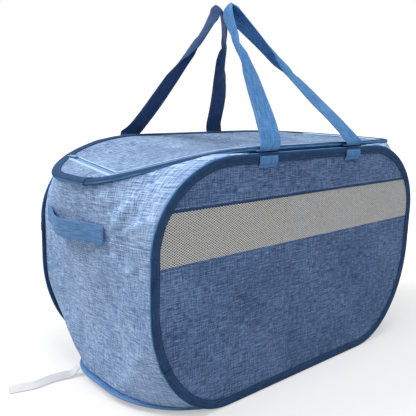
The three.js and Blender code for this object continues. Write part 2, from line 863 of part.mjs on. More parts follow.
// Tie band: sewn to the binding at the left end, it runs out along the floor
const tieRoute = [
  v3(-283.6, 68, 12.3),
  v3(-289, 68.2, 9),
  v3(-296, 67, 6),
  v3(-305, 67.5, 5.8),
  v3(-315, 69.5, 6),
  v3(-330, 70.8, 5.8),
  v3(-345, 69.5, 5.5),
  v3(-357, 69.2, 5.4),
  v3(-368, 72, 5.3),
  v3(-380, 75.5, 5.3),
  v3(-393, 79, 5.3),
];
const tieLean = (42 * Math.PI) / 180;
const tieLeanShares = [0, 0.25];

// It starts flat on the binding and leans on one edge from there
function tieWidthAt(share) {
  const lean = tieLean * THREE.MathUtils.smoothstep(share, ...tieLeanShares);
  return v3(0, Math.cos(lean), Math.sin(lean));
}

const tie = ribbon(tieRoute, tieWidthAt, tieWidth, tieThick, tieSteps);
addPiece("tie_band", tie, colours.tieWhite);

export default hamper;
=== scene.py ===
# %% [markdown]
# # Pop up laundry hamper
# A soft box that four spring wire hoops hold open: one upright hoop in each long side, one level
# hoop round the top and one round the bottom. Everything seen is cloth: a folded tape binds each
# hoop, panels of heather cloth fill them, and nets, a zipped lid and carry handles are sewn on.
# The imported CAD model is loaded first. It fixes every size and place, and the bodies that move.

# %% Load the frame
import math

import bmesh
import bpy
import numpy as np
from mathutils import Matrix, Vector


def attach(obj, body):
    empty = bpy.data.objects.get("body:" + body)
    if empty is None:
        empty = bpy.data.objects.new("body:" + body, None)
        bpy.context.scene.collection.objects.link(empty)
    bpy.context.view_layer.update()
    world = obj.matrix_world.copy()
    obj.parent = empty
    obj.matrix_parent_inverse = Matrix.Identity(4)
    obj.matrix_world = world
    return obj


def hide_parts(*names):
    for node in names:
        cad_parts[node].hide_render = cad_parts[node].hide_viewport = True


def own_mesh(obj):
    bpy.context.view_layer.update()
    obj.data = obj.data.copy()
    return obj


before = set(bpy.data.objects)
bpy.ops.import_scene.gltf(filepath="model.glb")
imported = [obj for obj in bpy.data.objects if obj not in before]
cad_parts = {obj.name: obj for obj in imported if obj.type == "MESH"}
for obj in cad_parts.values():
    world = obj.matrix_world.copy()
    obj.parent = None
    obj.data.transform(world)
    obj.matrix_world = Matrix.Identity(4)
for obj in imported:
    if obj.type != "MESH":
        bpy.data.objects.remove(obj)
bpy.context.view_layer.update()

# %% [markdown]
# ## Camera
# The camera comes first, because every later look is judged through it. Its place and turn were
# solved from the outlines of the four hoops in the photograph. A camera looks along its own -Z,
# so its matrix is built from the three directions right, up and back.

# %% Camera
MM = 0.001
camera_place = Vector((-691.4, -700.2, 444.2)) * MM
camera_yaw, camera_pitch, camera_roll = 0.721, -0.197, 0.023
frame_pixels, focal_pixels = 416, 573.4

ahead = Vector((
    math.sin(camera_yaw) * math.cos(camera_pitch),
    math.cos(camera_yaw) * math.cos(camera_pitch),
    math.sin(camera_pitch),
))
level_right = Vector((math.cos(camera_yaw), -math.sin(camera_yaw), 0))
level_up = level_right.cross(ahead)
right = level_right * math.cos(camera_roll) + level_up * math.sin(camera_roll)
up = -level_right * math.sin(camera_roll) + level_up * math.cos(camera_roll)

camera_data = bpy.data.cameras.new("camera")
camera_data.sensor_width = 36
camera_data.lens = 36 * focal_pixels / frame_pixels
camera_data.clip_start, camera_data.clip_end = 0.05, 30
camera = bpy.data.objects.new("camera", camera_data)
turn = Matrix((right, up, -ahead)).transposed().to_4x4()
camera.matrix_world = Matrix.Translation(camera_place) @ turn
bpy.context.scene.collection.objects.link(camera)
bpy.context.scene.camera = camera
print("lens", round(camera_data.lens, 1), "mm")

# %% [markdown]
# ## Shader expressions
# Most finishes here are sums and products of noises. Writing them as nodes one by one hides the
# idea, so a small class wraps a shader socket and overloads the operators. An expression such as
# `1 - mask * 0.4` then adds its Math nodes by itself.

# %% Socket class
class Term:
    """A number that varies over a surface: it can be added, multiplied and fed to other nodes."""

    def __init__(self, tree, socket):
        self.tree = tree
        self.socket = socket

    def sum_of(self, operation, *others):
        values = {i: value for i, value in enumerate(others)}
        return add_node(self.tree, "ShaderNodeMath", {"operation": operation}, values)

    def __add__(self, other):
        return self.sum_of("ADD", self, other)

    def __sub__(self, other):
        return self.sum_of("SUBTRACT", self, other)

    def __rsub__(self, other):
        return self.sum_of("SUBTRACT", other, self)

    def __mul__(self, other):
        return self.sum_of("MULTIPLY", self, other)

    def sine(self):
        return self.sum_of("SINE", self)

    def size(self):
        return self.sum_of("ABSOLUTE", self)

    def larger(self, other):
        return self.sum_of("MAXIMUM", self, other)

    __radd__ = __add__
    __rmul__ = __mul__


def add_node(tree, kind, settings=None, inputs=None, output=0):
    """One node: its settings are set first, then the values or links of its sockets."""
    node = tree.nodes.new(kind)
    for name, value in (settings or {}).items():
        if name == "stops":
            ramp = node.color_ramp
            for (place, colour), stop in zip(value, [ramp.elements[0], ramp.elements[1]]):
                stop.position, stop.color = place, (*colour, 1)
            for place, colour in value[2:]:
                ramp.elements.new(place).color = (*colour, 1)
        else:
            setattr(node, name, value)
    for name, value in (inputs or {}).items():
        if isinstance(value, Term):
            tree.links.new(value.socket, node.inputs[name])
        elif value is not None:
            node.inputs[name].default_value = value
    return Term(tree, node.outputs[output])


def linear(red, green, blue):
    """A colour as it is seen, 0 to 255, turned into the light values that shaders use."""
    shares = [c / 255 for c in (red, green, blue)]
    return tuple(c / 12.92 if c <= 0.04045 else ((c + 0.055) / 1.055) ** 2.4 for c in shares)


def new_material(name, roughness=0.9, metallic=0.0, sheen=0.0):
    material = bpy.data.materials.new(name)
    material.use_nodes = True
    shader = material.node_tree.nodes["Principled BSDF"]
    shader.inputs["Roughness"].default_value = roughness
    shader.inputs["Metallic"].default_value = metallic
    shader.inputs["Sheen Weight"].default_value = sheen
    shader.inputs["Sheen Roughness"].default_value = 0.5
    shader.inputs["Specular IOR Level"].default_value = 0.5 if roughness < 0.6 else 0.25
    return material, shader


def feed(shader, name, term):
    term.tree.links.new(term.socket, shader.inputs[name])


# %% [markdown]
# ## Heather cloth
# The panels are a plain weave of slubby yarn: pale and dark fibres are spun together, so every
# thread changes tone along its length. That reads as short streaks crossing at right angles. An
# image of cloth would do it, but two noises, each stretched along one set of threads, follow the
# piece's own UV map at true size and never repeat. The UV map is in metres.

# %% Cloth material
def threads(tree, pitch, run, seed):
    """Two stretched noises, one for the threads along U and one for the threads along V."""
    uv = add_node(tree, "ShaderNodeUVMap", {"uv_map": "cloth"})
    found = []
    for scale in ((1 / run, 1 / pitch, 1), (1 / pitch, 1 / run, 1)):
        placed = add_node(
            tree,
            "ShaderNodeMapping",
            {},
            {"Vector": uv, "Scale": scale, "Location": (seed, seed * 2, seed * 3)},
        )
        noise = add_node(
            tree,
            "ShaderNodeTexNoise",
            {"noise_dimensions": "2D"},
            {"Vector": placed, "Scale": 1.0, "Detail": 2.5, "Roughness": 0.55},
        )
        found.append(noise)
    return found


def cloth_material(name, dark, mid, light, seed, patch=0.12, bump=0.35):
    material, shader = new_material(name, roughness=0.92, sheen=0.04)
    tree = material.node_tree
    fine = threads(tree, 0.0008, 0.012, seed)
    broad = threads(tree, 0.0013, 0.04, seed + 5)
    streaks = fine[0] * 0.34 + fine[1] * 0.26 + broad[0] * 0.24 + broad[1] * 0.16
    uv = add_node(tree, "ShaderNodeUVMap", {"uv_map": "cloth"})
    cloudy = add_node(
        tree, "ShaderNodeTexNoise", {}, {"Vector": uv, "Scale": 9.0, "Detail": 2.0}
    )
    tone = streaks + (cloudy - 0.5) * patch
    colour = add_node(
        tree,
        "ShaderNodeValToRGB",
        {"stops": [(0.42, dark), (0.58, light), (0.5, mid)]},
        {"Fac": tone},
    )
    feed(shader, "Base Color", colour)
    relief = (fine[0] + fine[1]) * 0.5 + (broad[0] + broad[1]) * 0.25
    normal = add_node(
        tree, "ShaderNodeBump", {}, {"Strength": bump, "Distance": 0.0006, "Height": relief}
    )
    feed(shader, "Normal", normal)
    return material


# The side cloth is darker and the end cloth paler than the lid cloth: partly the cloth's own tone,
# partly painted shade on the long sides and painted light on the ends.
side_cloth = cloth_material(
    "side_cloth", linear(48, 72, 110), linear(78, 104, 146), linear(122, 150, 194), 1
)
end_cloth = cloth_material(
    "end_cloth", linear(92, 122, 166), linear(142, 172, 216), linear(194, 218, 248), 2
)
lid_cloth = cloth_material(
    "lid_cloth", linear(68, 94, 130), linear(110, 136, 172), linear(164, 188, 218), 3
)
print("cloth:", side_cloth.name, end_cloth.name, lid_cloth.name)

# %% [markdown]
# ## Tapes and webbing
# Binding tape, webbing and the white tie are woven narrow, so their threads run along the tape
# and form fine ribs across it. Their UV map has its U along the tape, so a wave on U gives the
# ribs and a stretched noise gives the yarns.

# %% Tape material
# The palest blue is a painted highlight, laid along the round nose of a binding's fold.
highlight_blue = linear(96, 152, 206)


def tape_material(name, colour, edge_colour, rib, ribs_high, seed, roughness=0.85, sheen=0.05,
                  painted_highlight=0.0):
    material, shader = new_material(name, roughness=roughness, sheen=sheen)
    tree = material.node_tree
    uv = add_node(tree, "ShaderNodeUVMap", {"uv_map": "cloth"})
    yarn = threads(tree, 0.0009, 0.02, seed)
    split = add_node(tree, "ShaderNodeSeparateXYZ", {}, {"Vector": uv})
    wave = (split * (2 * math.pi / rib)).sine()
    patch = add_node(
        tree, "ShaderNodeTexNoise", {}, {"Vector": uv, "Scale": 26.0, "Detail": 3.0}
    )
    tone = yarn[0] * 0.6 + yarn[1] * 0.3 + wave * 0.05 + (patch - 0.5) * 0.25
    # Painted highlight: the tape is made paler near the nose of its fold, where light catches its
    # round edge.
    if painted_highlight:
        over = add_node(tree, "ShaderNodeSeparateXYZ", {}, {"Vector": uv}, "Y")
        highlight_near_fold = add_node(
            tree, "ShaderNodeMapRange", {"interpolation_type": "SMOOTHSTEP"},
            {"Value": (over - 0.0193).size(), "From Min": 0.0005, "From Max": 0.0029,
             "To Min": painted_highlight, "To Max": 0.0},
        )
        tone = tone + highlight_near_fold
    mixed = add_node(
        tree,
        "ShaderNodeValToRGB",
        {"stops": [(0.3, colour), (0.95, highlight_blue), (0.62, edge_colour)]},
        {"Fac": tone},
    )
    feed(shader, "Base Color", mixed)
    normal = add_node(
        tree,
        "ShaderNodeBump",
        {},
        {"Strength": 0.5, "Distance": ribs_high, "Height": wave * 0.5 + yarn[0] * 0.6},
    )
    feed(shader, "Normal", normal)
    return material


rim_tape = tape_material(
    "rim_binding_tape", linear(22, 46, 80), linear(46, 80, 122), 0.0016, 0.0002, 11, sheen=0.0,
    painted_highlight=0.4,
)
# The bottom binding is paler than the rim's tape: partly its own colour and partly painted light,
# as that hoop faces up towards the lamps.
bottom_tape = tape_material(
    "bottom_binding_tape", linear(62, 106, 162), linear(112, 158, 212), 0.0016, 0.0002, 12,
    painted_highlight=0.2,
)
# The back handle's webbing, used for its tabs too, is a darker copy of the front's: painted shade,
# as the back handle's faces turn away from the lamps.
handle_webbing = {
    "front": tape_material(
        "front_handle_webbing", linear(58, 108, 164), linear(98, 154, 210), 0.002, 0.0004, 13
    ),
    "back": tape_material(
        "back_handle_webbing", linear(26, 50, 90), linear(58, 92, 138), 0.002, 0.0004, 19
    ),
}
strap_webbing = tape_material(
    "strap_webbing", linear(70, 112, 164), linear(112, 158, 208), 0.002, 0.0004, 14
)
zip_tape = tape_material(
    "zip_edge_tape", linear(150, 186, 224), linear(186, 214, 240), 0.0016, 0.0002, 17
)
tie_tape = tape_material(
    "tie_tape", linear(226, 226, 224), linear(246, 246, 245), 0.0014, 0.0003, 16
)
print("tapes made")

# %% [markdown]
# ## Net yarn, wire, zip and thread
# Small parts still need more than one flat colour: yarn has soft light and dark lengths, rolled
# spring wire has faint lines along it, and moulded zip teeth are glossier than their tape. These
# read Object coordinates, because a noise in space needs no UV map.

# %% Small materials
def speckled(name, dark, light, scale, roughness, metallic=0.0, bump=0.0002):
    material, shader = new_material(name, roughness=roughness, metallic=metallic)
    tree = material.node_tree
    place = add_node(tree, "ShaderNodeTexCoord", output=3)
    noise = add_node(
        tree, "ShaderNodeTexNoise", {}, {"Vector": place, "Scale": scale, "Detail": 3.0}
    )
    colour = add_node(
        tree, "ShaderNodeValToRGB", {"stops": [(0.35, dark), (0.65, light)]}, {"Fac": noise}
    )
    feed(shader, "Base Color", colour)
    normal = add_node(
        tree, "ShaderNodeBump", {}, {"Strength": 0.5, "Distance": bump, "Height": noise}
    )
    feed(shader, "Normal", normal)
    return material


net_yarn = speckled("net_yarn", linear(226, 228, 226), linear(248, 249, 247), 900, 0.8)
spring_steel = speckled("spring_steel", linear(150, 153, 158), linear(190, 193, 197), 300, 0.35, 1)
zip_teeth = speckled("zip_teeth", linear(84, 122, 172), linear(112, 152, 202), 500, 0.4)
zip_metal = speckled("zip_metal", linear(88, 118, 158), linear(112, 142, 182), 250, 0.4, 0.3)
rim_thread = speckled("rim_thread", linear(62, 88, 120), linear(92, 120, 152), 700, 0.7)
dark_thread = speckled("dark_thread", linear(14, 24, 40), linear(26, 38, 58), 700, 0.8)
pale_thread = speckled("pale_thread", linear(146, 172, 204), linear(176, 198, 224), 700, 0.7)
for material in (net_yarn, spring_steel, zip_teeth, zip_metal, rim_thread, pale_thread):
    print("material:", material.name)

# %% [markdown]
# ## Making a surface from a formula
# Nearly every piece is a strip or sheet whose place is known as a formula of two shares, u and v.
# `bmesh.ops.create_grid` makes the even net of faces, the formula moves its points, and a weld
# closes the ones that go round. The UV map is kept in metres, so weaves keep their true size.

# %% Surface helpers
def grid_piece(name, columns, rows, place, material, uv_size, closed=False, ring=False,
               trim=None):
    """A surface from place(u, v), arrays of shares, to points in millimetres.

    closed joins v = 0 to v = 1, ring joins u = 0 to u = 1, and uv_size is in metres.
    """
    bm = bmesh.new()
    layer = bm.loops.layers.uv.new("cloth")
    bmesh.ops.create_grid(bm, x_segments=columns, y_segments=rows, size=0.5)
    shares = np.array([vert.co[:2] for vert in bm.verts]) + 0.5
    for vert in bm.verts:
        for loop in vert.link_loops:
            u, v = shares[vert.index]
            loop[layer].uv = (u * uv_size[0], v * uv_size[1])
    points = place(shares[:, 0], shares[:, 1])
    for vert, point in zip(bm.verts, np.stack(points, axis=1) * MM):
        vert.co = point
    if trim is not None:
        trim(bm)
    if closed or ring:
        bmesh.ops.remove_doubles(bm, verts=bm.verts, dist=1e-6)
        bmesh.ops.recalc_face_normals(bm, faces=bm.faces)
    return finish_piece(name, bm, material)


def finish_piece(name, bm, material, smooth=True):
    mesh = bpy.data.meshes.new(name)
    for face in bm.faces:
        face.smooth = smooth
    bm.to_mesh(mesh)
    bm.free()
    mesh.materials.append(material)
    piece = bpy.data.objects.new(name, mesh)
    bpy.context.scene.collection.objects.link(piece)
    return piece


def thicken(piece, thickness, offset=0.0):
    wall = piece.modifiers.new("wall", "SOLIDIFY")
    wall.thickness = thickness * MM
    wall.offset = offset
    return piece


def cap_ends(bm):
    """Closes the open ends of a strip that goes round only one way."""
    bmesh.ops.remove_doubles(bm, verts=bm.verts, dist=1e-6)
    bmesh.ops.holes_fill(bm, edges=[e for e in bm.edges if e.is_boundary], sides=0)


# %% [markdown]
# ## The four hoops as curves
# An upright hoop is four quarter arcs of an ellipse with straight runs between, and the two level
# hoops are the same seen from above, with their ends drooping. Each hoop is kept as evenly spaced
# stations: a point on its outer edge, the outward direction, and the direction of its thickness.

# %% Sizes of the hoops
side_half, side_high, half_depth = 300, 365, 150
side_top_corner, side_bottom_corner = (138, 124), (141, 178)
top_half, top_corner = 333, (205, 122)
droop_left, droop_right, droop_power = 44, 8, 1.8
bottom_half, bottom_corner, bottom_lift = 289, (132, 119), 11
ring_half_depth, ring_top, ring_bottom = 144.7, 369.0, 3.4
binding_deep, cloth_inset = 14, 9


def top_height(x):
    past = np.maximum(0, np.abs(x) - (top_half - top_corner[0])) / top_corner[0]
    return ring_top - np.where(x < 0, droop_left, droop_right) * past**droop_power


def bottom_height(x):
    past = np.maximum(0, np.abs(x) - (bottom_half - bottom_corner[0])) / bottom_corner[0]
    return ring_bottom + bottom_lift * past**2


def tilt(height, x):
    """The upward direction of a surface that changes height only along X."""
    slope = (height(x + 0.3) - height(x - 0.3)) / 0.6
    normal = np.stack([-slope, np.zeros_like(slope), np.ones_like(slope)], axis=1)
    return normal / np.linalg.norm(normal, axis=1)[:, None]


def half_width(past, flat, corner, inset):
    """Half the width of a rounded outline, at a distance into its corner."""
    share = np.clip(past / (corner[1] - inset), 0, 1)
    return flat + (corner[0] - inset) * np.sqrt(1 - share**2)


def side_half_width(z, inset):
    low = half_width(side_bottom_corner[1] - z, side_half - side_bottom_corner[0],
                     side_bottom_corner, inset)
    high = half_width(z - side_high + side_top_corner[1], side_half - side_top_corner[0],
                      side_top_corner, inset)
    return np.where(z < side_bottom_corner[1], low, high)


def level_half_length(y, half, corner, inset):
    return half_width(np.abs(y) - (ring_half_depth - corner[1]), half - corner[0], corner, inset)


def rim_half_depth(x, inset):
    turned = (top_corner[1], top_corner[0])
    return half_width(np.abs(x) - (top_half - top_corner[0]),
                      ring_half_depth - top_corner[1], turned, inset)


# %% Stations round each hoop
def rounded_outline(corners, count):
    """Evenly spaced points and outward directions round four quarter ellipses."""
    places, outs = [], []
    for cx, cy, rx, ry, quarter in corners:
        angle = (quarter + np.linspace(0, 1, 160)) * math.pi / 2
        places.append(np.stack([cx + rx * np.cos(angle), cy + ry * np.sin(angle)], axis=1))
        outs.append(np.stack([np.cos(angle) / rx, np.sin(angle) / ry], axis=1))
    places, outs = np.concatenate(places), np.concatenate(outs)
    places = np.concatenate([places, places[:1]])
    outs = np.concatenate([outs, outs[:1]])
    outs /= np.linalg.norm(outs, axis=1)[:, None]
    run = np.concatenate([[0], np.cumsum(np.linalg.norm(np.diff(places, axis=0), axis=1))])
    wanted = np.linspace(0, run[-1], count + 1)
    at = np.stack([np.interp(wanted, run, places[:, i]) for i in (0, 1)], axis=1)
    out = np.stack([np.interp(wanted, run, outs[:, i]) for i in (0, 1)], axis=1)
    return at, out / np.linalg.norm(out, axis=1)[:, None], run[-1]


def corners_of(half, low_corner, high_corner, low, high):
    return [
        (half - high_corner[0], high - high_corner[1], *high_corner, 0),
        (high_corner[0] - half, high - high_corner[1], *high_corner, 1),
        (low_corner[0] - half, low + low_corner[1], *low_corner, 2),
        (half - low_corner[0], low + low_corner[1], *low_corner, 3),
    ]


def side_hoop(y, count=320):
    at, out, length = rounded_outline(
        corners_of(side_half, side_bottom_corner, side_top_corner, 0, side_high), count
    )
    zeros = np.zeros(len(at))
    return {
        "at": np.stack([at[:, 0], zeros + y, at[:, 1]], axis=1),
        "out": np.stack([out[:, 0], zeros, out[:, 1]], axis=1),
        "up": np.stack([zeros, zeros + 1, zeros], axis=1),
        "length": length,
    }


def level_hoop(half, corner, height, count=320):
    at, out, length = rounded_outline(
        corners_of(half, corner, corner, -ring_half_depth, ring_half_depth), count
    )
    up = tilt(height, at[:, 0])
    flat = np.concatenate([out, np.zeros((len(out), 1))], axis=1)
    flat -= up * (flat * up).sum(axis=1)[:, None]
    return {
        "at": np.concatenate([at, height(at[:, 0])[:, None]], axis=1),
        "out": flat / np.linalg.norm(flat, axis=1)[:, None],
        "up": up,
        "length": length,
    }


hoops = {
    "front": side_hoop(-half_depth),
    "back": side_hoop(half_depth),
    "top": level_hoop(top_half, top_corner, top_height),
    "bottom": level_hoop(bottom_half, bottom_corner, bottom_height),
}
body_of_hoop = {"front": "front_side", "back": "back_side", "top": "top", "bottom": "base"}
for name, hoop in hoops.items():
    print(name, "hoop is", round(hoop["length"]), "mm round")


def along(hoop, key, share):
    """A value of the hoop at a share of the way round it, between its stations."""
    table = hoop[key]
    place = (share % 1.0) * (len(table) - 1)
    low = np.minimum(place.astype(int), len(table) - 2)
    part = (place - low)[:, None]
    return table[low] * (1 - part) + table[low + 1] * part


def from_hoop(hoop, share, inward, across):
    """Points a distance inward from the hoop's outer edge and across its thickness."""
    return (
        along(hoop, "at", share)
        - along(hoop, "out", share) * inward[:, None]
        + along(hoop, "up", share) * across[:, None]
    )

# %% [markdown]
# ## Binding tapes
# Each wire hoop sits inside a folded tape, like piping on a cushion. The fold is round outside,
# pinched by a line of stitching near its open edges, and it puckers a little where the hoop
# turns. The outline of the fold is a short list of points, carried round the hoop by the grid's
# v share while u goes round. A bevelled curve could do it too, but it would have no open edge.

# %% Binding tapes
fold_outline = np.array([
    (6.0, 1.0), (13.6, 1.2), (14.3, 1.6), (13.9, 2.15), (12.6, 2.2), (11.4, 1.8), (10.2, 2.35),
    (8.2, 2.95), (6.2, 3.3), (4.4, 3.4), (2.8, 3.15), (1.4, 2.4), (0.45, 1.3), (0.0, 0.0),
    (0.45, -1.3), (1.4, -2.4), (2.8, -3.15), (4.4, -3.4), (6.2, -3.3), (8.2, -2.95),
    (10.2, -2.35), (11.4, -1.8), (12.6, -2.2), (13.9, -2.15), (14.3, -1.6), (13.6, -1.2),
    (6.0, -1.0), (6.0, 1.0),
])


def fold_at(v):
    steps = np.linspace(0, 1, len(fold_outline))
    return np.interp(v, steps, fold_outline[:, 0]), np.interp(v, steps, fold_outline[:, 1])


def bend_of(hoop, share):
    """How sharply the hoop turns at a share of the way round, 0 on a straight run to 1."""
    step = 1 / (len(hoop["out"]) - 1)
    change = along(hoop, "out", share + step) - along(hoop, "out", share - step)
    turning = np.linalg.norm(change, axis=1) / (2 * step * hoop["length"])
    return np.clip(turning * 110, 0, 1)


def pucker(share, length, seed):
    """Uneven gathering along a tape: waves of about 11 mm that swell and fade."""
    run = share * length
    swell = 0.5 + 0.5 * np.sin(run / 47 + seed) * np.sin(run / 29 + seed * 2)
    return np.sin(run * 2 * math.pi / 11.3 + 1.7 * np.sin(run / 31 + seed)) * swell


def binding(name, material, seed):
    hoop = hoops[name]

    def place(u, v):
        inward, across = fold_at(v)
        lip = np.clip((inward - 4) / 10, 0, 1)
        ripple = pucker(u, hoop["length"], seed) * bend_of(hoop, u)
        soft = 0.22 * np.sin(u * hoop["length"] / 23 + seed) * np.sin(u * hoop["length"] / 9)
        across = across + ripple * lip * 0.32
        inward = inward + soft * lip + ripple * 0.12 * lip
        return from_hoop(hoop, u, inward, across).T

    tape = grid_piece(
        f"{name}_binding_tape", 320, len(fold_outline) - 1, place, material,
        (hoop["length"] * MM, 0.04), closed=True, ring=True,
    )
    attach(tape, body_of_hoop[name])
    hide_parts(f"{name}_binding")
    return tape


binding_tapes = {
    "front": binding("front", rim_tape, 1),
    "back": binding("back", rim_tape, 2),
    "top": binding("top", rim_tape, 3),
    "bottom": binding("bottom", bottom_tape, 4),
}
print("binding tapes:", len(binding_tapes))

# %% [markdown]
# ## Stitches
# A stitch is a small sunk loaf of thread. Hundreds of them are needed, so each is a ball of only
# twenty faces, stretched along its seam and dropped in place with one matrix. They are joined in
# one mesh for each seam, which keeps the object light.

# %% Stitch helper
def stitches(name, points, faces_out, material, body, length=2.3, fat=0.45, pitch=3.2):
    """Stitches along points in millimetres. faces_out is the outward direction at each point."""
    run = np.concatenate([[0], np.cumsum(np.linalg.norm(np.diff(points, axis=0), axis=1))])
    wanted = np.arange(pitch / 2, run[-1], pitch)
    at = np.stack([np.interp(wanted, run, points[:, i]) for i in range(3)], axis=1)
    out = np.stack([np.interp(wanted, run, faces_out[:, i]) for i in range(3)], axis=1)
    way = np.stack([np.interp(wanted + 1, run, points[:, i]) for i in range(3)], axis=1)
    way -= np.stack([np.interp(wanted - 1, run, points[:, i]) for i in range(3)], axis=1)
    bm = bmesh.new()
    for centre, forward, outward in zip(at, way, out):
        x_way = Vector(forward).normalized()
        z_way = Vector(outward)
        z_way = (z_way - x_way * z_way.dot(x_way)).normalized()
        turn = Matrix((x_way, z_way.cross(x_way), z_way)).transposed().to_4x4()
        size = Matrix.Diagonal((length / 2 * MM, fat * 0.8 * MM, fat * 0.6 * MM, 1))
        place = Matrix.Translation(Vector(centre) * MM) @ turn @ size
        bmesh.ops.create_icosphere(bm, subdivisions=1, radius=1, matrix=place)
    seam = finish_piece(name, bm, material)
    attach(seam, body)
    return seam


def hoop_seam(name, side, inward=11.4, across=1.85):
    hoop = hoops[name]
    share = np.linspace(0, 1, 900)
    ones = np.ones(len(share))
    points = from_hoop(hoop, share, ones * inward, ones * across * side)
    return stitches(
        f"{name}_binding_stitches_{'a' if side > 0 else 'b'}", points,
        along(hoop, "up", share) * side, pale_thread if name == "bottom" else rim_thread,
        body_of_hoop[name],
    )


for name in hoops:
    for side in (1, -1):
        hoop_seam(name, side)
print("binding stitches sewn")

# %% [markdown]
# ## Overlaps
# A binding tape is one long strip, so its two ends overlap somewhere on each hoop, with the top
# end cut at a slant. It shows as a short thicker sleeve. The same folded outline is used, swelled
# a little, over a short stretch of the hoop whose ends slant with v. A row of very dark stitches
# follows the cut edge and draws it as a dark line.

# %% Overlaps of the tapes
def overlap(name, near, material, length=13, slant=5):
    """near is the point in millimetres that the overlap lies closest to."""
    hoop = hoops[name]
    middle = np.linalg.norm(hoop["at"] - np.array(near), axis=1).argmin() / (len(hoop["at"]) - 1)
    half = length / 2 / hoop["length"]

    def place(u, v):
        inward, across = fold_at(v)
        edge = np.sin(u * math.pi) ** 0.15
        grown = 1 + 0.16 * edge
        inward = 5 + (inward - 5) * np.where(inward < 5, grown, 1 + 0.03 * edge)
        share = middle + (u - 0.5) * 2 * half + slant / hoop["length"] * (inward / 14) * (u > 0.5)
        return from_hoop(hoop, share, inward, across * grown).T

    sleeve = grid_piece(
        f"{name}_binding_overlap", 10, len(fold_outline) - 1, place, material,
        (length * MM, 0.04), closed=True,
    )
    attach(sleeve, body_of_hoop[name])
    inward, across = fold_at(np.linspace(0.03, 0.97, 90))
    share = middle + half + slant / hoop["length"] * (inward / 14)
    edge = from_hoop(hoop, share, 7 + (inward - 7) * 1.12, across * 1.2)
    out = edge - from_hoop(hoop, share, np.full_like(inward, 7), np.zeros_like(inward))
    out /= np.linalg.norm(out, axis=1)[:, None]
    stitches(f"{name}_binding_cut_edge", edge, out, dark_thread, body_of_hoop[name],
             length=2.4, fat=0.9, pitch=2.6)
    return sleeve


overlap("top", (-333, -40, 325), rim_tape)
overlap("front", (-270, -150, 100), rim_tape)
overlap("back", (-300, 150, 230), rim_tape)
overlap("bottom", (-200, -140, 4), bottom_tape)
print("overlaps made")

# %% [markdown]
# ## Creases
# Cloth that hangs between hoops is never flat. A crease is a long soft ridge, strongest in its
# middle and fading at both ends. Simulation would give creases anywhere it liked; here they have
# places seen on the real hamper, so each is written as two end points, a width and a height.

# %% Crease helper
def creases(a, b, lines):
    """The height of all creases at points (a, b). A line is x1, y1, x2, y2, width, height."""
    total = np.zeros_like(a)
    for x1, y1, x2, y2, width, height in lines:
        run = math.hypot(x2 - x1, y2 - y1)
        way_x, way_y = (x2 - x1) / run, (y2 - y1) / run
        past = ((a - x1) * way_x + (b - y1) * way_y) / run
        off = (a - x1) * way_y - (b - y1) * way_x
        fade = np.clip(past * 4, 0, 1) * np.clip((1 - past) * 4, 0, 1)
        fade = fade * fade * (3 - 2 * fade)
        wander = width * 0.35 * np.sin(past * 7 + x1)
        total += height * fade * np.exp(-(((off - wander) / width) ** 2))
    return total


# %% [markdown]
# ## Side panels
# A long side has cloth below its net and a narrower strip above it. Their outer edges follow the
# hoop and go into its tape. Each is a grid between two heights, as wide at every height as the
# hoop allows, with a few shallow creases that start at the corners of the net.

# %% Side panels
net_low, net_high = 226, 299
side_creases = [
    (-262, 214, -120, 90, 16, 1.6), (262, 214, 140, 60, 18, 1.5), (-200, 40, -60, 120, 15, -1.4),
    (40, 30, 170, 130, 20, 1.2), (-30, 200, -10, 60, 26, -1.2), (-280, 150, -170, 160, 12, 1.3),
    (120, 190, 220, 140, 14, -1.1), (-150, 312, -60, 340, 9, 0.9), (30, 310, 160, 338, 10, 0.8),
]


def side_panel(side, part, low, high, rows):
    sign = -1 if side == "front" else 1

    def place(u, v):
        z = low + (high - low) * v
        half = side_half_width(z, cloth_inset)
        x = (u - 0.5) * 2 * half
        middle = np.clip(np.minimum(half - np.abs(x), 40) / 40, 0, 1)
        middle = middle * np.clip(np.abs(z - low) / 12, 0, 1) * np.clip(np.abs(high - z) / 12, 0, 1)
        loose = creases(x * -sign, z, side_creases) + 0.35 * np.sin(x / 31) * np.sin(z / 23)
        return x, sign * (half_depth + loose * middle), z

    name = f"{side}_cloth_{part}"
    panel = grid_piece(name, 120, rows, place, side_cloth, (0.6, (high - low) * MM))
    straighten_uv(panel)
    thicken(panel, 1.0)
    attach(panel, body_of_hoop[side])
    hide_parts(f"{side}_panel_{part}")
    panel_area(low, high)
    return panel


def straighten_uv(panel, first=0, second=2):
    """Lays the UV map flat along two axes, so the weave isn't squeezed where a panel narrows."""
    layer = panel.data.uv_layers["cloth"]
    for loop in panel.data.loops:
        point = panel.data.vertices[loop.vertex_index].co
        layer.data[loop.index].uv = (point[first], point[second])


def panel_area(low, high):
    z = np.linspace(low, high, 200)
    return float(2 * side_half_width(z, cloth_inset).mean() * (high - low)) * MM * MM


for name in ("front", "back"):
    side_panel(name, "lower", cloth_inset, net_low, 60)
    side_panel(name, "upper", net_high, side_high - cloth_inset, 18)
print("side panels hung")

# %% [markdown]
# ## Seams under the rim
# Each long side is sewn to the rim by a narrow strip of folded cloth. It closes the slit between
# the rim and the side's own hoop, where light would come through. It hangs from the rim and
# moves with it.

# %% Seams under the rim
seam_half, seam_drop, seam_gather = 200, 8.5, 366.4


def rim_seam(side):
    sign = -1 if side == "front" else 1

    def place(u, v):
        x = (u - 0.5) * 2 * seam_half
        y = sign * (rim_half_depth(x, 1.6) - 0.5 * np.sin(v * math.pi))
        return x, y, top_height(x) - 2.6 - seam_drop * v

    seam = grid_piece(f"{side}_rim_seam", 120, 6, place, rim_tape, (0.4, 0.009))
    thicken(seam, 0.6)
    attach(seam, "top")
    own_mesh(seam)
    return seam


print("seams:", rim_seam("front").name, rim_seam("back").name)

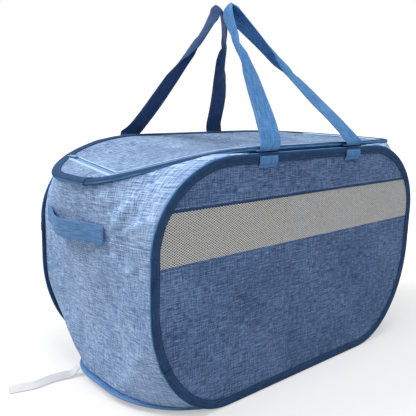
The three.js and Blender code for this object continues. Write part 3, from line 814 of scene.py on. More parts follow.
# %% [markdown]
# ## Nets
# The window is a white knitted net with small slanted holes in staggered rows. The holes are
# real, so that light and the far side show through them. A grid is laid along the two slanting
# directions of the net, cut to the window with bisect_plane, and every face is inset: the inner
# faces become the holes and the rims become the yarn. A picture with holes would be lighter, but
# its yarn would have no thickness.

# %% Nets
net_step = (2.73, 1.73)
yarn_wide = 1.12


def net_window(name):
    sign = -1 if name == "front" else 1
    cells, net_middle = 176, (net_low + net_high) / 2
    bm = bmesh.new()
    bmesh.ops.create_grid(bm, x_segments=cells, y_segments=cells, size=cells / 2)
    for vert in bm.verts:
        i, j = vert.co.x, vert.co.y
        vert.co = Vector(((i + j) * net_step[0], 0, net_middle + (i - j) * net_step[1]))
    outside = []
    for face in bm.faces:
        centre = face.calc_center_median()
        z = np.array([min(max(centre.z, net_low), net_high)])
        if abs(centre.z - net_middle) > (net_high - net_low) / 2 + net_step[1]:
            outside.append(face)
        elif abs(centre.x) > side_half_width(z, 8.0)[0]:
            outside.append(face)
    bmesh.ops.delete(bm, geom=outside, context="FACES")
    for height, way in ((net_low - 0.5, -1), (net_high + 0.5, 1)):
        bmesh.ops.bisect_plane(
            bm, geom=bm.verts[:] + bm.edges[:] + bm.faces[:], dist=1e-5,
            plane_co=(0, 0, height), plane_no=(0, 0, way), clear_outer=True,
        )
    for vert in bm.verts:
        x, z = vert.co.x, vert.co.z
        slack = 0.8 * math.sin(x / 37) * math.sin((z - net_low) / (net_high - net_low) * math.pi)
        vert.co = Vector((x * MM, sign * (half_depth + slack) * MM, z * MM))
    holes = bmesh.ops.inset_individual(bm, faces=bm.faces[:], thickness=yarn_wide / 2 * MM)
    yarn = set(holes["faces"])
    bmesh.ops.delete(bm, geom=[f for f in bm.faces if f not in yarn], context="FACES")
    net = finish_piece(f"{name}_net", bm, net_yarn)
    thicken(net, 0.5)
    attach(net, body_of_hoop[name])
    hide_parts(f"{name}_mesh_window")
    return net


for name in ("front", "back"):
    net = net_window(name)
    print(net.name, len(net.data.polygons), "faces")

# %% [markdown]
# ## Edges of the windows
# Along its bottom the net runs in behind the folded edge of the lower cloth. Along its top the
# cloth is folded under and sewn, which leaves a thin dark line of tape. Both are narrow strips
# bent over the edge of the cloth, with a line of stitches.

# %% Window edges
def across_window(name, z, high, proud, material, label):
    """A strip on the outside of the window, z being its lower edge."""
    sign = -1 if name == "front" else 1

    def place(u, v):
        heights = z + high * v
        half = side_half_width(np.full_like(u, z + high / 2), 11.0)
        x = (u - 0.5) * 2 * half
        slack = 0.25 * np.sin(x / 41) + 0.12 * np.sin(x / 9)
        crown = proud * (1 - np.abs(2 * v - 1) ** 3)
        return x, sign * (half_depth + crown + 0.3), heights + slack * 0.5

    strip = grid_piece(f"{name}_{label}", 180, 6, place, material, (0.56, high * MM))
    thicken(strip, 0.5)
    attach(strip, body_of_hoop[name])
    return strip


for name in ("front", "back"):
    sign = -1 if name == "front" else 1
    hem = across_window(name, net_low - 0.6, 2.6, 0.6, side_cloth, "window_foot_hem")
    tape = across_window(name, net_high - 1.2, 3.4, 0.7, rim_tape, "window_top_tape")
    for label, z in (("low", net_low - 2.6), ("high", net_high + 4.2)):
        x = np.linspace(-1, 1, 300) * side_half_width(np.array([z]), 13.0)[0]
        flat = np.full_like(x, sign * (half_depth + 0.7))
        points = np.stack([x, flat, np.full_like(x, z)], axis=1)
        out = np.tile([0, sign, 0], (len(x), 1)).astype(float)
        stitches(f"{name}_window_stitches_{label}", points, out, pale_thread,
                 body_of_hoop[name], fat=0.4)
print("window edges sewn")

# %% [markdown]
# ## End cloth
# The cloth at each end bridges three hoops. It rolls round their corners and is nearly flat in
# its middle, so its reach along X is a formula of depth and height: a rounded reach seen from the
# bottom hoop, another seen from the top hoop, and a smooth change between them. Creases are then
# added, outwards only where the corners of the dropped lid pass. It is made in two parts that meet
# behind the grab handle, because the lower part goes with the base when the hamper folds and the
# upper part goes with the top hoop.

# %% End cloth
end_side = half_depth - 3.4 - 0.3
end_inset = 6


def rolled(side, rise, reach_y, reach_z, level, upright):
    across, over = side / reach_y, rise / reach_z
    total = across + over
    share = np.where(total > 0, over / np.maximum(total, 1e-9), 1)
    start = level[0] + (upright[0] - level[0]) * share
    radius = level[1] + (upright[1] - level[1]) * share
    past = 1 - np.minimum(1, total)
    return start + radius * np.sqrt(1 - past**2)


def end_edges(y, sign):
    low = level_half_length(y, bottom_half, bottom_corner, end_inset)
    high = level_half_length(y, top_half, top_corner, end_inset)
    low_z = bottom_height(low) + 3.4 / tilt(bottom_height, low)[:, 2] + 0.5
    high_z = top_height(sign * high) - 3.4 / tilt(top_height, sign * high)[:, 2] - 3
    return low_z, high_z


def end_reach(y, z, sign):
    side = end_side - np.abs(y)
    low_z, high_z = end_edges(y, sign)
    below = rolled(
        side, z - low_z, bottom_corner[1], side_bottom_corner[1] - end_inset,
        (bottom_half - bottom_corner[0], bottom_corner[0] - end_inset),
        (side_half - side_bottom_corner[0], side_bottom_corner[0] - end_inset),
    )
    above = rolled(
        side, high_z - z, top_corner[1], side_top_corner[1] - end_inset,
        (top_half - top_corner[0], top_corner[0] - end_inset),
        (side_half - side_top_corner[0], side_top_corner[0] - end_inset),
    )
    low, high = np.maximum(z - low_z, 0) ** 3, np.maximum(high_z - z, 0) ** 3
    return below + (above - below) * low / (low + high)


end_creases = [
    (-66, 252, -140, 350, 6, 4.0), (-64, 246, -146, 296, 6, 2.6), (-64, 240, -135, 160, 8, 3.0),
    (110, 250, 140, 330, 8, 3.0), (112, 243, 145, 180, 9, 2.6), (-40, 225, -70, 60, 11, -2.8),
    (20, 230, 10, 70, 13, 2.6), (70, 228, 90, 80, 10, -2.6), (-130, 120, -60, 30, 10, 3.0),
    (125, 110, 60, 30, 11, 3.0), (-20, 130, -30, 16, 9, 2.2), (40, 110, 50, 14, 8, -2.0),
    (0, 285, -30, 320, 9, 2.6), (60, 285, 80, 325, 9, -2.0), (-90, 300, -60, 325, 8, 2.0),
    (-110, 230, -90, 150, 7, 1.8), (-5, 215, -45, 150, 7, 1.6), (-95, 200, -60, 110, 6, 1.6),
    (-118, 350, -112, 272, 6, -4.5), (-114, 284, -66, 250, 5, -3.2), (-84, 330, -78, 285, 6, -2.4),
]
split_height = 252


def end_part(name, sign, low_share, high_share, rows, body):
    def place(u, v):
        y = np.sin((u - 0.5) * math.pi) * end_side
        low_z, high_z = end_edges(y, sign)
        middle = (split_height - low_z) / (high_z - low_z)
        edges = {0: 0 * middle, 1: middle, 2: 0 * middle + 1}
        share = edges[low_share] + (edges[high_share] - edges[low_share]) * v
        z = low_z + (high_z - low_z) * share
        x = end_reach(y, z, sign)
        z = z + 2.9 * np.clip((share - 0.94) / 0.06, 0, 1)
        calm = np.clip((end_side - np.abs(y)) / 30, 0, 1)
        calm = calm * np.clip((z - low_z) / 25, 0, 1) * np.clip((high_z - z) / 25, 0, 1)
        calm = calm * calm * (3 - 2 * calm)
        grip = np.exp(-((np.abs(y - 23) / 100) ** 6)) * np.exp(-(((z - 259) / 19) ** 4))
        loose = creases(y, z, end_creases) + 1.1 * np.sin(y / 17 + z / 41) * np.sin(z / 29)
        loose = loose + 0.8 * np.sin(y / 6.1 + 2 * np.sin(z / 43)) * np.sin(z / 37 + y / 61)
        passing = np.clip((y - 15) / 25, 0, 1) * np.clip((z - 110) / 30, 0, 1)
        loose = loose + passing * (np.maximum(loose, 0) - loose)
        return sign * (x - 1.2 + passing * 1.0 + loose * calm * (1 - grip)), y, z

    part = grid_piece(name, 130, rows, place, end_cloth, (0.36, 0.36))
    straighten_uv(part, 1, 2)
    thicken(part, 1.2)
    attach(part, body)
    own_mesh(part)
    return part


for name, sign in (("left", -1), ("right", 1)):
    lower = end_part(f"{name}_end_cloth_lower", sign, 0, 1, 90, "base")
    upper = end_part(f"{name}_end_cloth_upper", sign, 1, 2, 40, "top")
    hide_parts(f"{name}_end_panel")
    0.09 if sign < 0 else 0.115
print("end cloth in two parts, split at", split_height, "mm")

# %% [markdown]
# ## Base cloth
# The base is one flat cloth inside the bottom hoop. It is the same kind of sheet, a little slack
# towards its ends, where the hoop lifts.

# %% Base cloth
def base_place(u, v):
    y = np.sin((v - 0.5) * math.pi) * (ring_half_depth - cloth_inset)
    half = level_half_length(y, bottom_half, bottom_corner, cloth_inset)
    x = np.sin((u - 0.5) * math.pi) * half
    return x, y, bottom_height(x)


base_cloth = grid_piece("base_cloth", 80, 48, base_place, end_cloth, (0.57, 0.27))
straighten_uv(base_cloth, 0, 1)
thicken(base_cloth, 1.0)
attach(base_cloth, "base")
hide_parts("bottom_panel")
print("base cloth laid")

# %% [markdown]
# ## The zip's line
# The zip runs down the left end, round the front and up the right end, so the lid opens from the
# front and hangs on its back edge. One set of points follows that line at any offset towards the
# lid, and the teeth, the folded cloth edges and the seams are all made from it.

# %% The zip's line
lid_hinge_y, zip_front_y = 92.0, 80.0
zip_back_x, zip_front_x = 276.0, 300.0


def zip_half_length(y):
    share = (lid_hinge_y - y) / (lid_hinge_y + zip_front_y)
    return zip_back_x + (zip_front_x - zip_back_x) * share


def front_zip_y(x):
    return -rim_half_depth(x, binding_deep + 5)


def front_corner(offset):
    x = np.array([zip_front_x])
    for _ in range(60):
        x = zip_half_length(front_zip_y(x)) - offset
    return x[0]


def zip_line(offset, spacing=1.0):
    """Points at an even spacing along the zip, moved by an offset towards the lid."""
    corner = front_corner(offset)
    corner_y = front_zip_y(np.array([corner]))[0] + offset
    side_y = np.linspace(lid_hinge_y, corner_y, 40)
    side_x = zip_half_length(side_y) - offset
    front_x = -corner * np.cos(np.linspace(0, math.pi, 200))[1:-1]
    x = np.concatenate([-side_x, front_x, side_x[::-1]])
    y = np.concatenate([side_y, front_zip_y(front_x) + offset, side_y[::-1]])
    run = np.concatenate([[0], np.cumsum(np.hypot(np.diff(x), np.diff(y)))])
    wanted = np.arange(0, run[-1], spacing)
    x, y = np.interp(wanted, run, x), np.interp(wanted, run, y)
    return np.stack([x, y, top_height(x)], axis=1), wanted


def beside_zip(offset, count):
    """The line at an offset, resampled so that two offsets can be joined station by station."""
    line, run = zip_line(offset)
    shares = np.linspace(0, run[-1], count)
    return np.stack([np.interp(shares, run, line[:, i]) for i in range(3)], axis=1)


print("zip is", round(zip_line(0)[1][-1]), "mm long")

# %% [markdown]
# ## Top borders and lid
# Between the rim's tape and the zip lies a border of the same cloth as the lid. The lid is one
# sheet that sags in its middle. Both are puckered where the zip is sewn to them, because a zip
# tape doesn't stretch and cloth does: small waves that die away from the seam.

# %% Borders and lid
zip_reach = 3.45


def gathered(run, away, seed):
    """Waves of cloth sewn to a zip, away being the distance from the seam."""
    wave = np.sin(run / 3.1 + 2 * np.sin(run / 37 + seed)) * (0.6 + 0.4 * np.sin(run / 53 + seed))
    return wave * np.exp(-np.maximum(away, 0) / 9)


def end_border(name, sign):
    corner_y = front_zip_y(np.array([front_corner(0)]))[0]

    def place(u, v):
        y = lid_hinge_y + (corner_y - 0.3 - lid_hinge_y) * v
        inner = zip_half_length(y) + zip_reach
        outer = np.maximum(
            level_half_length(y, top_half, top_corner, cloth_inset), inner + 0.3
        )
        x = sign * (inner + (outer - inner) * u)
        lift = gathered(y, (outer - inner) * u, 4 + sign) * 0.35 * np.sin(u * math.pi)
        return x, y, top_height(x) + lift

    return grid_piece(name, 10, 90, place, lid_cloth, (0.04, 0.17))


def front_border(u, v):
    half = front_corner(-zip_reach) - binding_deep
    x = -half * np.cos(u * math.pi)
    inner, outer = front_zip_y(x) - zip_reach, -rim_half_depth(x, cloth_inset)
    return x, inner + (outer - inner) * v, top_height(x)


def back_border(u, v):
    half = zip_back_x + zip_reach - binding_deep
    x = -half * np.cos(u * math.pi)
    back = np.maximum(rim_half_depth(x, cloth_inset), lid_hinge_y + 1)
    y = lid_hinge_y + 0.5 + (back - lid_hinge_y - 0.5) * v
    away = np.clip((y - lid_hinge_y) / 12, 0, 1) * np.clip((back - y) / 12, 0, 1)
    loose = creases(x, y, [(140, 100, 260, 122, 7, 2.2), (60, 98, 150, 118, 8, -1.4),
                           (-240, 100, -120, 112, 8, 1.2), (-60, 100, 20, 118, 9, 1.0)])
    return x, y, top_height(x) + loose * away


borders = {
    "top_border_left": end_border("left_border_cloth", -1),
    "top_border_right": end_border("right_border_cloth", 1),
    "top_border_front": grid_piece(
        "front_border_cloth", 160, 3, front_border, lid_cloth, (0.6, 0.01)
    ),
    "top_border_back": grid_piece(
        "back_border_cloth", 160, 20, back_border, lid_cloth, (0.6, 0.04)
    ),
}
for node, cloth in borders.items():
    straighten_uv(cloth, 0, 1)
    thicken(cloth, 1.0)
    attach(cloth, "top")
    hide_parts(node)

lid_creases = [
    (-250, 60, -60, 20, 20, 3.4), (-260, -40, -120, -10, 18, 2.8), (-90, -90, -30, 10, 22, -3.0),
    (40, 70, 190, 40, 20, 3.0), (90, -80, 240, -30, 18, 3.2), (-20, 30, 60, -60, 24, 2.6),
    (200, 60, 272, 10, 14, 2.6), (-180, 70, -120, -70, 16, -2.4), (-262, 20, -170, 66, 9, -3.6),
    (-240, 78, -130, 70, 8, 3.0), (110, 84, 250, 60, 9, -3.4), (-60, 80, 60, 62, 10, -2.6),
]


def lid_place(u, v):
    offset = zip_reach + 0.3
    corner = front_corner(offset)
    corner_y = front_zip_y(np.array([corner]))[0] + offset
    front_x = -corner * np.cos(u * math.pi)
    front_y = front_zip_y(front_x) + offset
    half = zip_half_length(lid_hinge_y + (corner_y - lid_hinge_y) * v) - offset
    x = front_x / corner * half
    y = lid_hinge_y + (front_y - lid_hinge_y) * v
    sag = 9 * np.sin(u * math.pi) * np.sin(v * math.pi)
    edge = np.minimum(np.minimum(half - np.abs(x), y - front_y), lid_hinge_y - y)
    calm = np.clip(edge / 30, 0, 1)
    loose = creases(x, y, lid_creases) * calm
    seam = np.minimum(half - np.abs(x), y - front_y)
    ripple = gathered(np.where(half - np.abs(x) < y - front_y, y, x), seam, 2) * 0.5
    ripple = ripple * np.clip(seam / 3, 0, 1)
    return x, y, top_height(x) - sag + loose + ripple


lid_sheet = grid_piece("lid_cloth", 220, 70, lid_place, lid_cloth, (0.6, 0.18))
straighten_uv(lid_sheet, 0, 1)
thicken(lid_sheet, 1.0)
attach(lid_sheet, "lid")
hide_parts("lid_panel")
print("lid and", len(borders), "borders made")

# %% [markdown]
# ## Zip
# Up close a nylon zip is two rows of small loops that mesh, on a blue tape, and the cloth beside
# it is folded back on itself and stitched, which makes two pale rolled edges. The loops are the
# same many-small-balls idea as the stitches. The rolled edges are half-round strips. The one on
# the lid stands further off the loops, so that the zip pull has room to stand up beside it.

# %% Zip
edge_width = 3.6


def rolled_edge(name, offset, way, body):
    """A folded cloth edge beside the teeth; way is 1 towards the lid and -1 towards the rim."""
    count = 400
    near = beside_zip(offset, count)
    far = beside_zip(offset + way * edge_width, count)

    def place(u, v):
        index = np.clip(np.rint(u * (count - 1)).astype(int), 0, count - 1)
        share = np.clip(v, 0, 1)
        flat = near[index] + (far[index] - near[index]) * share[:, None]
        rise = 0.9 + 1.3 * np.sin(np.clip(share * 1.15 + 0.12, 0, 1) * math.pi) ** 0.7
        soft = 0.18 * np.sin(index / 5.3) * np.sin(index / 17)
        return flat[:, 0], flat[:, 1], flat[:, 2] + rise - 0.4 + soft

    edge = grid_piece(name, count - 1, 7, place, zip_tape, (0.9, 0.005))
    thicken(edge, 0.6)
    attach(edge, body)
    seam_at = beside_zip(offset + way * (edge_width + 1.0), count)
    up = np.tile([0.0, 0.0, 1.0], (count, 1))
    stitches(f"{name}_stitches", seam_at + up * 0.75, up, pale_thread, body)
    return edge


rolled_edge("lid_zip_edge", 4.1, 1, "lid")
rolled_edge("rim_zip_edge", -2.6, -1, "top")


def teeth(name, offset, body, shift):
    line, run = zip_line(offset, 1.6)
    bm = bmesh.new()
    for i, point in enumerate(line[1:-1], 1):
        way = line[i + 1] - line[i - 1]
        x_way = Vector(way).normalized()
        z_way = Vector((0, 0, 1))
        turn = Matrix((x_way, z_way.cross(x_way), z_way)).transposed().to_4x4()
        size = Matrix.Diagonal((0.55 * MM, 1.4 * MM, 0.85 * MM, 1))
        centre = Vector(point) + x_way * shift + z_way * 0.35
        bmesh.ops.create_icosphere(
            bm, subdivisions=1, radius=1, matrix=Matrix.Translation(centre * MM) @ turn @ size
        )
    row = finish_piece(name, bm, zip_teeth)
    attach(row, body)
    return row


teeth("lid_zip_teeth", 1.0, "lid", 0.4)
teeth("rim_zip_teeth", -1.0, "top", -0.4)
for node in ("zip_chain_rim_half", "zip_chain_lid_half"):
    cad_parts[node].data.materials.clear()
    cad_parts[node].data.materials.append(zip_teeth)
print("zip made")

# %% [markdown]
# ## Handles, tabs and grab handles
# All straps are the same kind of piece: flat webbing with rounded edges that follows a path. The
# CAD model gives the path, and the width direction turns half round over the top of a carry
# handle, which is the twist where its two legs meet. The webbing curls in like a gutter where it
# twists. A curve with a bevel object would twist on its own terms, so the strip is placed station
# by station.

# %% Strap helper
def smooth_path(points, count):
    """A centripetal Catmull-Rom curve through points, evenly spaced."""
    points = np.array(points, float)
    ends = [2 * points[0] - points[1]], [2 * points[-1] - points[-2]]
    knots = np.concatenate([ends[0], points, ends[1]])
    pieces = []
    for p0, p1, p2, p3 in zip(knots, knots[1:], knots[2:], knots[3:]):
        steps = ((p0, p1), (p1, p2), (p2, p3))
        t = np.cumsum([0] + [np.linalg.norm(b - a) ** 0.5 for a, b in steps])
        s = np.linspace(t[1], t[2], 24, endpoint=False)[:, None]
        a1 = (t[1] - s) / (t[1] - t[0]) * p0 + (s - t[0]) / (t[1] - t[0]) * p1
        a2 = (t[2] - s) / (t[2] - t[1]) * p1 + (s - t[1]) / (t[2] - t[1]) * p2
        a3 = (t[3] - s) / (t[3] - t[2]) * p2 + (s - t[2]) / (t[3] - t[2]) * p3
        b1 = (t[2] - s) / (t[2] - t[0]) * a1 + (s - t[0]) / (t[2] - t[0]) * a2
        b2 = (t[3] - s) / (t[3] - t[1]) * a2 + (s - t[1]) / (t[3] - t[1]) * a3
        pieces.append((t[2] - s) / (t[2] - t[1]) * b1 + (s - t[1]) / (t[2] - t[1]) * b2)
    line = np.concatenate(pieces + [points[-1:]])
    run = np.concatenate([[0], np.cumsum(np.linalg.norm(np.diff(line, axis=0), axis=1))])
    wanted = np.linspace(0, run[-1], count)
    return np.stack([np.interp(wanted, run, line[:, i]) for i in range(3)], axis=1), run[-1]


strap_outline = np.array([
    (-0.5, 0), (-0.495, -0.3), (-0.47, -0.5), (-0.4, -0.46), (-0.25, -0.5), (0, -0.5),
    (0.25, -0.5), (0.4, -0.46), (0.47, -0.5), (0.495, -0.3), (0.5, 0), (0.495, 0.3),
    (0.47, 0.5), (0.4, 0.46), (0.25, 0.5), (0, 0.5), (-0.25, 0.5), (-0.4, 0.46), (-0.47, 0.5),
    (-0.495, 0.3), (-0.5, 0),
])


def strap(name, points, width_way, wide, thick, count, material, curl=lambda share: 0.0,
          square=1.0):
    """Webbing along points in millimetres: width_way(share) is its width direction, and
    curl(share) is 0 where it lies flat and 1 where its edges curl in like a gutter. With
    square at 1 the width stands square to the path, and with less the weave leans a little."""
    line, length = smooth_path(points, count)
    way = np.gradient(line, axis=0)
    way /= np.linalg.norm(way, axis=1)[:, None]
    across = np.stack([np.array(width_way(s), float) for s in np.linspace(0, 1, count)])
    size = np.linalg.norm(across, axis=1)
    across -= way * (across * way).sum(axis=1)[:, None] * square
    across *= (size / np.linalg.norm(across, axis=1))[:, None]
    face = np.cross(way, across)
    face /= np.linalg.norm(face, axis=1)[:, None]
    curls = np.array([curl(s) for s in np.linspace(0, 1, count)])

    def place(u, v):
        index = np.clip(np.rint(u * (count - 1)).astype(int), 0, count - 1)
        steps = np.linspace(0, 1, len(strap_outline))
        w, t = (np.interp(v, steps, strap_outline[:, i]) for i in (0, 1))
        wave = 0.25 * np.sin(u * length / 13) * np.abs(w) * 2
        lift = t * thick + 0.28 * wide * curls[index] * (0.4 - 4 * w * w) + wave
        sideways = w * wide * (1 - 0.3 * curls[index])
        return (line[index] + across[index] * sideways[:, None] + face[index] * lift[:, None]).T

    piece = grid_piece(name, count - 1, len(strap_outline) - 1, place, material,
                       (length * MM, 0.08), closed=True, trim=cap_ends)
    return piece, line, across, face, length


def strap_seams(name, made, wide, thick, body, start, end, inset=2.6, faces=(1, -1)):
    """Two rows of stitches along a strap, between two shares of its length."""
    _, line, across, face, _ = made
    first, last = int(start * (len(line) - 1)), int(end * (len(line) - 1)) + 1
    for row, edge in enumerate((-1, 1)):
        for side in faces:
            out = face[first:last] * side
            at = line[first:last] + across[first:last] * edge * (wide / 2 - inset)
            stitches(f"{name}_stitches_{row}{'a' if side > 0 else 'b'}",
                     at + out * (thick / 2 + 0.05), out, pale_thread, body, fat=0.4)


# %% Carry handles and their tabs
strap_wide, strap_thick = 37.0, 1.8
strap_face, foot_high, apex_rise, tab_span = 154.6, 367.8, 210.0, 100.0
apex = (-54.4, 10.5)
tab_profile = [(151.8, 344), (152.1, 347.4), (154.6, 350.7), (154.6, 361)]
rise_shares = [0.07, 0.17, 0.33, 0.5, 0.65, 0.8, 0.93]
lean_shares = [0.03, 0.13, 0.31, 0.49, 0.645, 0.8, 0.93]
drift_shares = {
    ("front", -1): [0.13, 0.26, 0.47, 0.6, 0.62, 0.68, 0.84],
    ("front", 1): [0.055, 0.155, 0.311, 0.476, 0.63, 0.786, 0.929],
    ("back", -1): [0.15, 0.28, 0.43, 0.56, 0.7, 0.845, 0.94],
    ("back", 1): [0.05, 0.122, 0.248, 0.406, 0.531, 0.675, 0.83],
}
turn_shares = {
    ("front", -1): [-0.05, -0.06, 0.01, 0.08, 0.25, 0.66, 0.78],
    ("front", 1): [0.02, 0.03, 0.05, 0.11, 0.6, 0.69, 0.78],
    ("back", -1): [0.02, 0.03, 0.05, 0.09, 0.22, 0.66, 0.75],
    ("back", 1): [0.02, 0.03, 0.06, 0.14, 0.32, 0.72, 0.82],
}


def tab_x(name, sign):
    return sign * tab_span - (28 if name == "back" else 0)


def handle_points(name, side):
    def foot(sign):
        return [
            (tab_x(name, sign), side * (strap_face + (145.3 - strap_face) * inward),
             foot_high + rise * 5)
            for inward, rise in ((1, 0), (0.62, 0), (0.26, 0.12), (0.02, 0.62))
        ]

    def leg(sign):
        start = tab_x(name, sign)
        return [
            (start + (apex[0] - start) * drift, side * (strap_face - lean * (strap_face - apex[1])),
             foot_high + rise * apex_rise)
            for lean, rise, drift in zip(lean_shares, rise_shares, drift_shares[name, sign])
        ]

    top = [(apex[0], side * apex[1], foot_high + apex_rise)]
    return foot(-1) + leg(-1) + top + (foot(1) + leg(1))[::-1]


def smooth_step(share, low, high):
    t = min(max((share - low) / (high - low), 0), 1)
    return t * t * (3 - 2 * t)


def handle_turns(name, points):
    """How far round the strap is at a share of the way along, as a share of a quarter turn."""
    still = [0, 0, 0, 0]
    turns = still + turn_shares[name, -1] + [1] + (still + turn_shares[name, 1])[::-1]
    steps = np.linalg.norm(np.diff(np.array(points, float), axis=0), axis=1)
    runs = np.concatenate([[0], np.cumsum(steps)]) / steps.sum()
    return lambda share: np.interp(share, runs, turns)


def handle_width(side, turned):
    flat = Vector((0, -apex_rise, -side * (strap_face - apex[1]))).normalized()

    def way(share):
        turn = turned(share) * math.pi / 2
        narrow = 1 - 0.45 * smooth_step(turned(share), 0.8, 1)
        return [narrow * (c * math.cos(turn) - o * math.sin(turn))
                for c, o in zip((1, 0, 0), flat)]

    return way


def handle_curl(turned):
    """Webbing curls along its length where it twists, so both of its faces show there."""
    def curl(share):
        turn = turned(share)
        return smooth_step(turn, 0.02, 0.3) * (1 - 0.85 * smooth_step(turn, 0.5, 0.78))

    return curl


for name, side in (("front", -1), ("back", 1)):
    points = handle_points(name, side)
    turned = handle_turns(name, points)
    made = strap(f"{name}_carry_strap", points, handle_width(side, turned), strap_wide,
                 strap_thick, 300, handle_webbing[name], handle_curl(turned), 0.45)
    handle = made[0]
    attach(handle, f"{name}_handle")
    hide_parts(f"{name}_handle")
    for label, start, end in (("carry_strap", 0.06, 0.22), ("carry_strap_far", 0.78, 0.94)):
        strap_seams(f"{name}_{label}", made, strap_wide, strap_thick, f"{name}_handle", start, end)
    print(handle.name, "is", round(made[4]), "mm long")
    for end, sign in (("left", -1), ("right", 1)):
        middle = tab_x(name, sign)
        path = [(middle, side * y, z) for y, z in tab_profile]
        made_tab = strap(f"{name}_tab_{end}", path, lambda share: (1, 0, 0), strap_wide,
                         strap_thick, 24, handle_webbing[name])
        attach(made_tab[0], body_of_hoop[name])
        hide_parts(f"{name}_strap_tab_{end}")
        box_seam = []
        for x, z in ((-15, 346.5), (15, 346.5), (15, 359), (-15, 359), (-15, 346.5)):
            box_seam.append((middle + x, side * 155.3, z))
        corners = np.array(box_seam, float)
        share = np.linspace(0, 4, 160)
        points = np.stack([np.interp(share, range(5), corners[:, i]) for i in range(3)], axis=1)
        near_foot = np.interp(points[:, 2], [z for _, z in tab_profile[:3]],
                              [y for y, _ in tab_profile[:3]])
        points[:, 1] = side * (near_foot + 0.95)
        out = np.tile([0.0, side, 0.0], (len(points), 1))
        stitches(f"{name}_tab_{end}_stitches", points, out, pale_thread, body_of_hoop[name])
print("carry handles and tabs sewn")

# %% [markdown]
# ## Grab handles
# A grab handle is a short strap whose two ends are sewn flat to the end cloth, while its middle
# stands off far enough for a hand. Its reach comes from the end cloth's own formula, so it sits
# on the cloth. It rides with the top hoop, as the cloth behind it does.

# %% Grab handles
grip_long, grip_high, grip_thick, grip_y, grip_z = 178.0, 26.0, 2.0, 23.0, 259.0


def grab_handle(name, sign):
    def reach_at(y):
        heights = (grip_z - grip_high / 2, grip_z, grip_z + grip_high / 2)
        return np.maximum.reduce([end_reach(y, np.full_like(y, z), sign) for z in heights])

    def place(u, v):
        steps = np.linspace(0, 1, len(strap_outline))
        w, t = (np.interp(v, steps, strap_outline[:, i]) for i in (0, 1))
        y = grip_y + (u - 0.5) * grip_long
        free = (grip_long - 32) / grip_long
        middle = np.clip((u - (1 - free) / 2) / free, 0, 1)
        bow = 14 * np.sin(middle * math.pi) ** 2
        droop = 1.5 * np.sin(middle * math.pi)
        x = reach_at(y) + 0.8 + bow + grip_thick / 2 - t * grip_thick * 0.9
        x = x + 0.5 * np.sin(middle * math.pi) * w
        return sign * x, y, grip_z + w * grip_high - droop

    piece = grid_piece(name, 90, len(strap_outline) - 1, place, strap_webbing,
                       (grip_long * MM, 0.06), closed=True, trim=cap_ends)
    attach(piece, "top")
    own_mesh(piece)
    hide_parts(name.replace("grab_strap", "side_handle"))
    return piece


for name, sign in (("left", -1), ("right", 1)):
    grab_handle(f"{name}_grab_strap", sign)
print("grab handles sewn")

# %% [markdown]
# ## Tie band
# A short white tape is sewn to the bottom binding. It ties the folded hamper shut, and here it
# lies out along the floor, leaning on one edge. It is a flat cord: its route is the CAD
# model's, and its diameter is its width.

# %% Tie band
tie_route = [
    (-283.6, 68, 12.3), (-289, 68.2, 9), (-296, 67, 6), (-305, 67.5, 5.8), (-315, 69.5, 6),
    (-330, 70.8, 5.8), (-345, 69.5, 5.5), (-357, 69.2, 5.4), (-368, 72, 5.3), (-380, 75.5, 5.3),
    (-393, 79, 5.3),
]


def tie_width(share):
    lean = math.radians(42) * smooth_step(share, 0, 0.25)
    return 0, math.cos(lean), math.sin(lean)


made = strap("tie", tie_route, tie_width, 13.0, 1.6, 90, tie_tape)
tie = made[0]
tie_path = [tuple(point * MM) for point in made[1][::3]]
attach(tie, "base")
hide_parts("tie_band")
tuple(tie_path[0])
print("tie is", round(made[4]), "mm long")

# %% [markdown]
# ## Wire, sleeves and zip metal
# These keep their CAD shapes, because a machine made part has exactly that shape. Only their
# materials change.

# %% Finishes of the CAD parts
for node, material in (
    *((f"{name}_hoop_wire", spring_steel) for name in hoops),
    *((f"{name}_hoop_ferrule", spring_steel) for name in hoops),
    ("zip_slider", zip_metal),
    ("zip_pull", zip_metal),
):
    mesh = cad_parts[node].data
    mesh.materials.clear()
    mesh.materials.append(material)
print("CAD parts finished")

# %% [markdown]
# ## Stage and light
# The photograph is a studio shot on white with a soft grey shadow. A large pale floor keeps the
# shadow, and the world is white to the camera but weaker as a light, so the cloth isn't washed
# out. Glossy and glass rays see the same white, so metal mirrors the background. The end and the
# lid are bright and the long side is darker, so the main lamp stands to the left, behind and
# above; part of that difference is also painted into the cloth colours, as painted shade and light.

# %% Rays that see the background
def seen_directly(tree):
    """1 for a ray from the camera, off something glossy or through glass, else 0."""
    kinds = ("Is Camera Ray", "Is Glossy Ray", "Is Transmission Ray")
    camera_ray, glossy, through = (
        add_node(tree, "ShaderNodeLightPath", output=kind) for kind in kinds
    )
    return camera_ray.larger(glossy).larger(through)


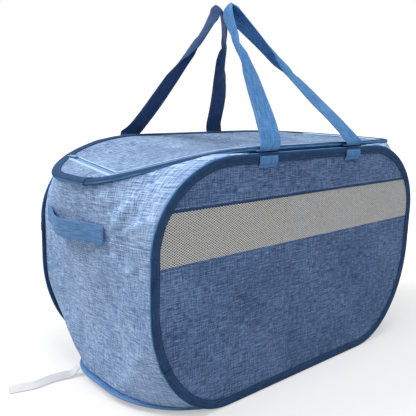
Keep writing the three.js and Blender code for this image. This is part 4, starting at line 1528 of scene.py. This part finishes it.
# %% Floor
floor_material, floor_shader = new_material("floor_paper", roughness=0.95)
tree = floor_material.node_tree
place = add_node(tree, "ShaderNodeTexCoord", output=3)
grain = add_node(tree, "ShaderNodeTexNoise", {}, {"Vector": place, "Scale": 40.0})
paper = add_node(
    tree, "ShaderNodeValToRGB",
    {"stops": [(0.0, (0.56, 0.56, 0.56)), (1.0, (0.6, 0.6, 0.6))]}, {"Fac": grain},
)
feed(floor_shader, "Base Color", paper)
reach = add_node(tree, "ShaderNodeVectorMath", {"operation": "LENGTH"}, {0: place}, "Value")
far = add_node(
    tree, "ShaderNodeMapRange", {"interpolation_type": "SMOOTHSTEP"},
    {"Value": reach, "From Min": 0.45, "From Max": 1.1, "To Min": 0.42, "To Max": 1.0},
)
feed(floor_shader, "Emission Color", seen_directly(tree) * far)
floor_shader.inputs["Emission Strength"].default_value = 1.0
bm = bmesh.new()
bmesh.ops.create_grid(bm, x_segments=2, y_segments=2, size=12)
floor = finish_piece("floor", bm, floor_material)

# %% World and lamps
world = bpy.data.worlds.new("studio")
world.use_nodes = True
bpy.context.scene.world = world
tree = world.node_tree
background = tree.nodes["Background"]
strength = seen_directly(tree) * 0.84 + 0.16
tree.links.new(strength.socket, background.inputs["Strength"])
background.inputs["Color"].default_value = (1, 1, 1, 1)


def lamp(name, place, aim, size, power):
    data = bpy.data.lights.new(name, "AREA")
    data.shape, data.size, data.energy = "SQUARE", size, power
    light = bpy.data.objects.new(name, data)
    light.location = place
    light.rotation_euler = (Vector(aim) - Vector(place)).to_track_quat("-Z", "Y").to_euler()
    bpy.context.scene.collection.objects.link(light)


lamp("key", (-1.6, 1.1, 2.1), (0, 0, 0.2), 1.2, 50)
lamp("top", (-0.2, -0.4, 2.6), (0, 0, 0.2), 1.4, 32)
lamp("front", (-0.5, -2.3, 2.3), (0, 0, 0.2), 1.4, 30)
bpy.context.scene.view_settings.view_transform = "Standard"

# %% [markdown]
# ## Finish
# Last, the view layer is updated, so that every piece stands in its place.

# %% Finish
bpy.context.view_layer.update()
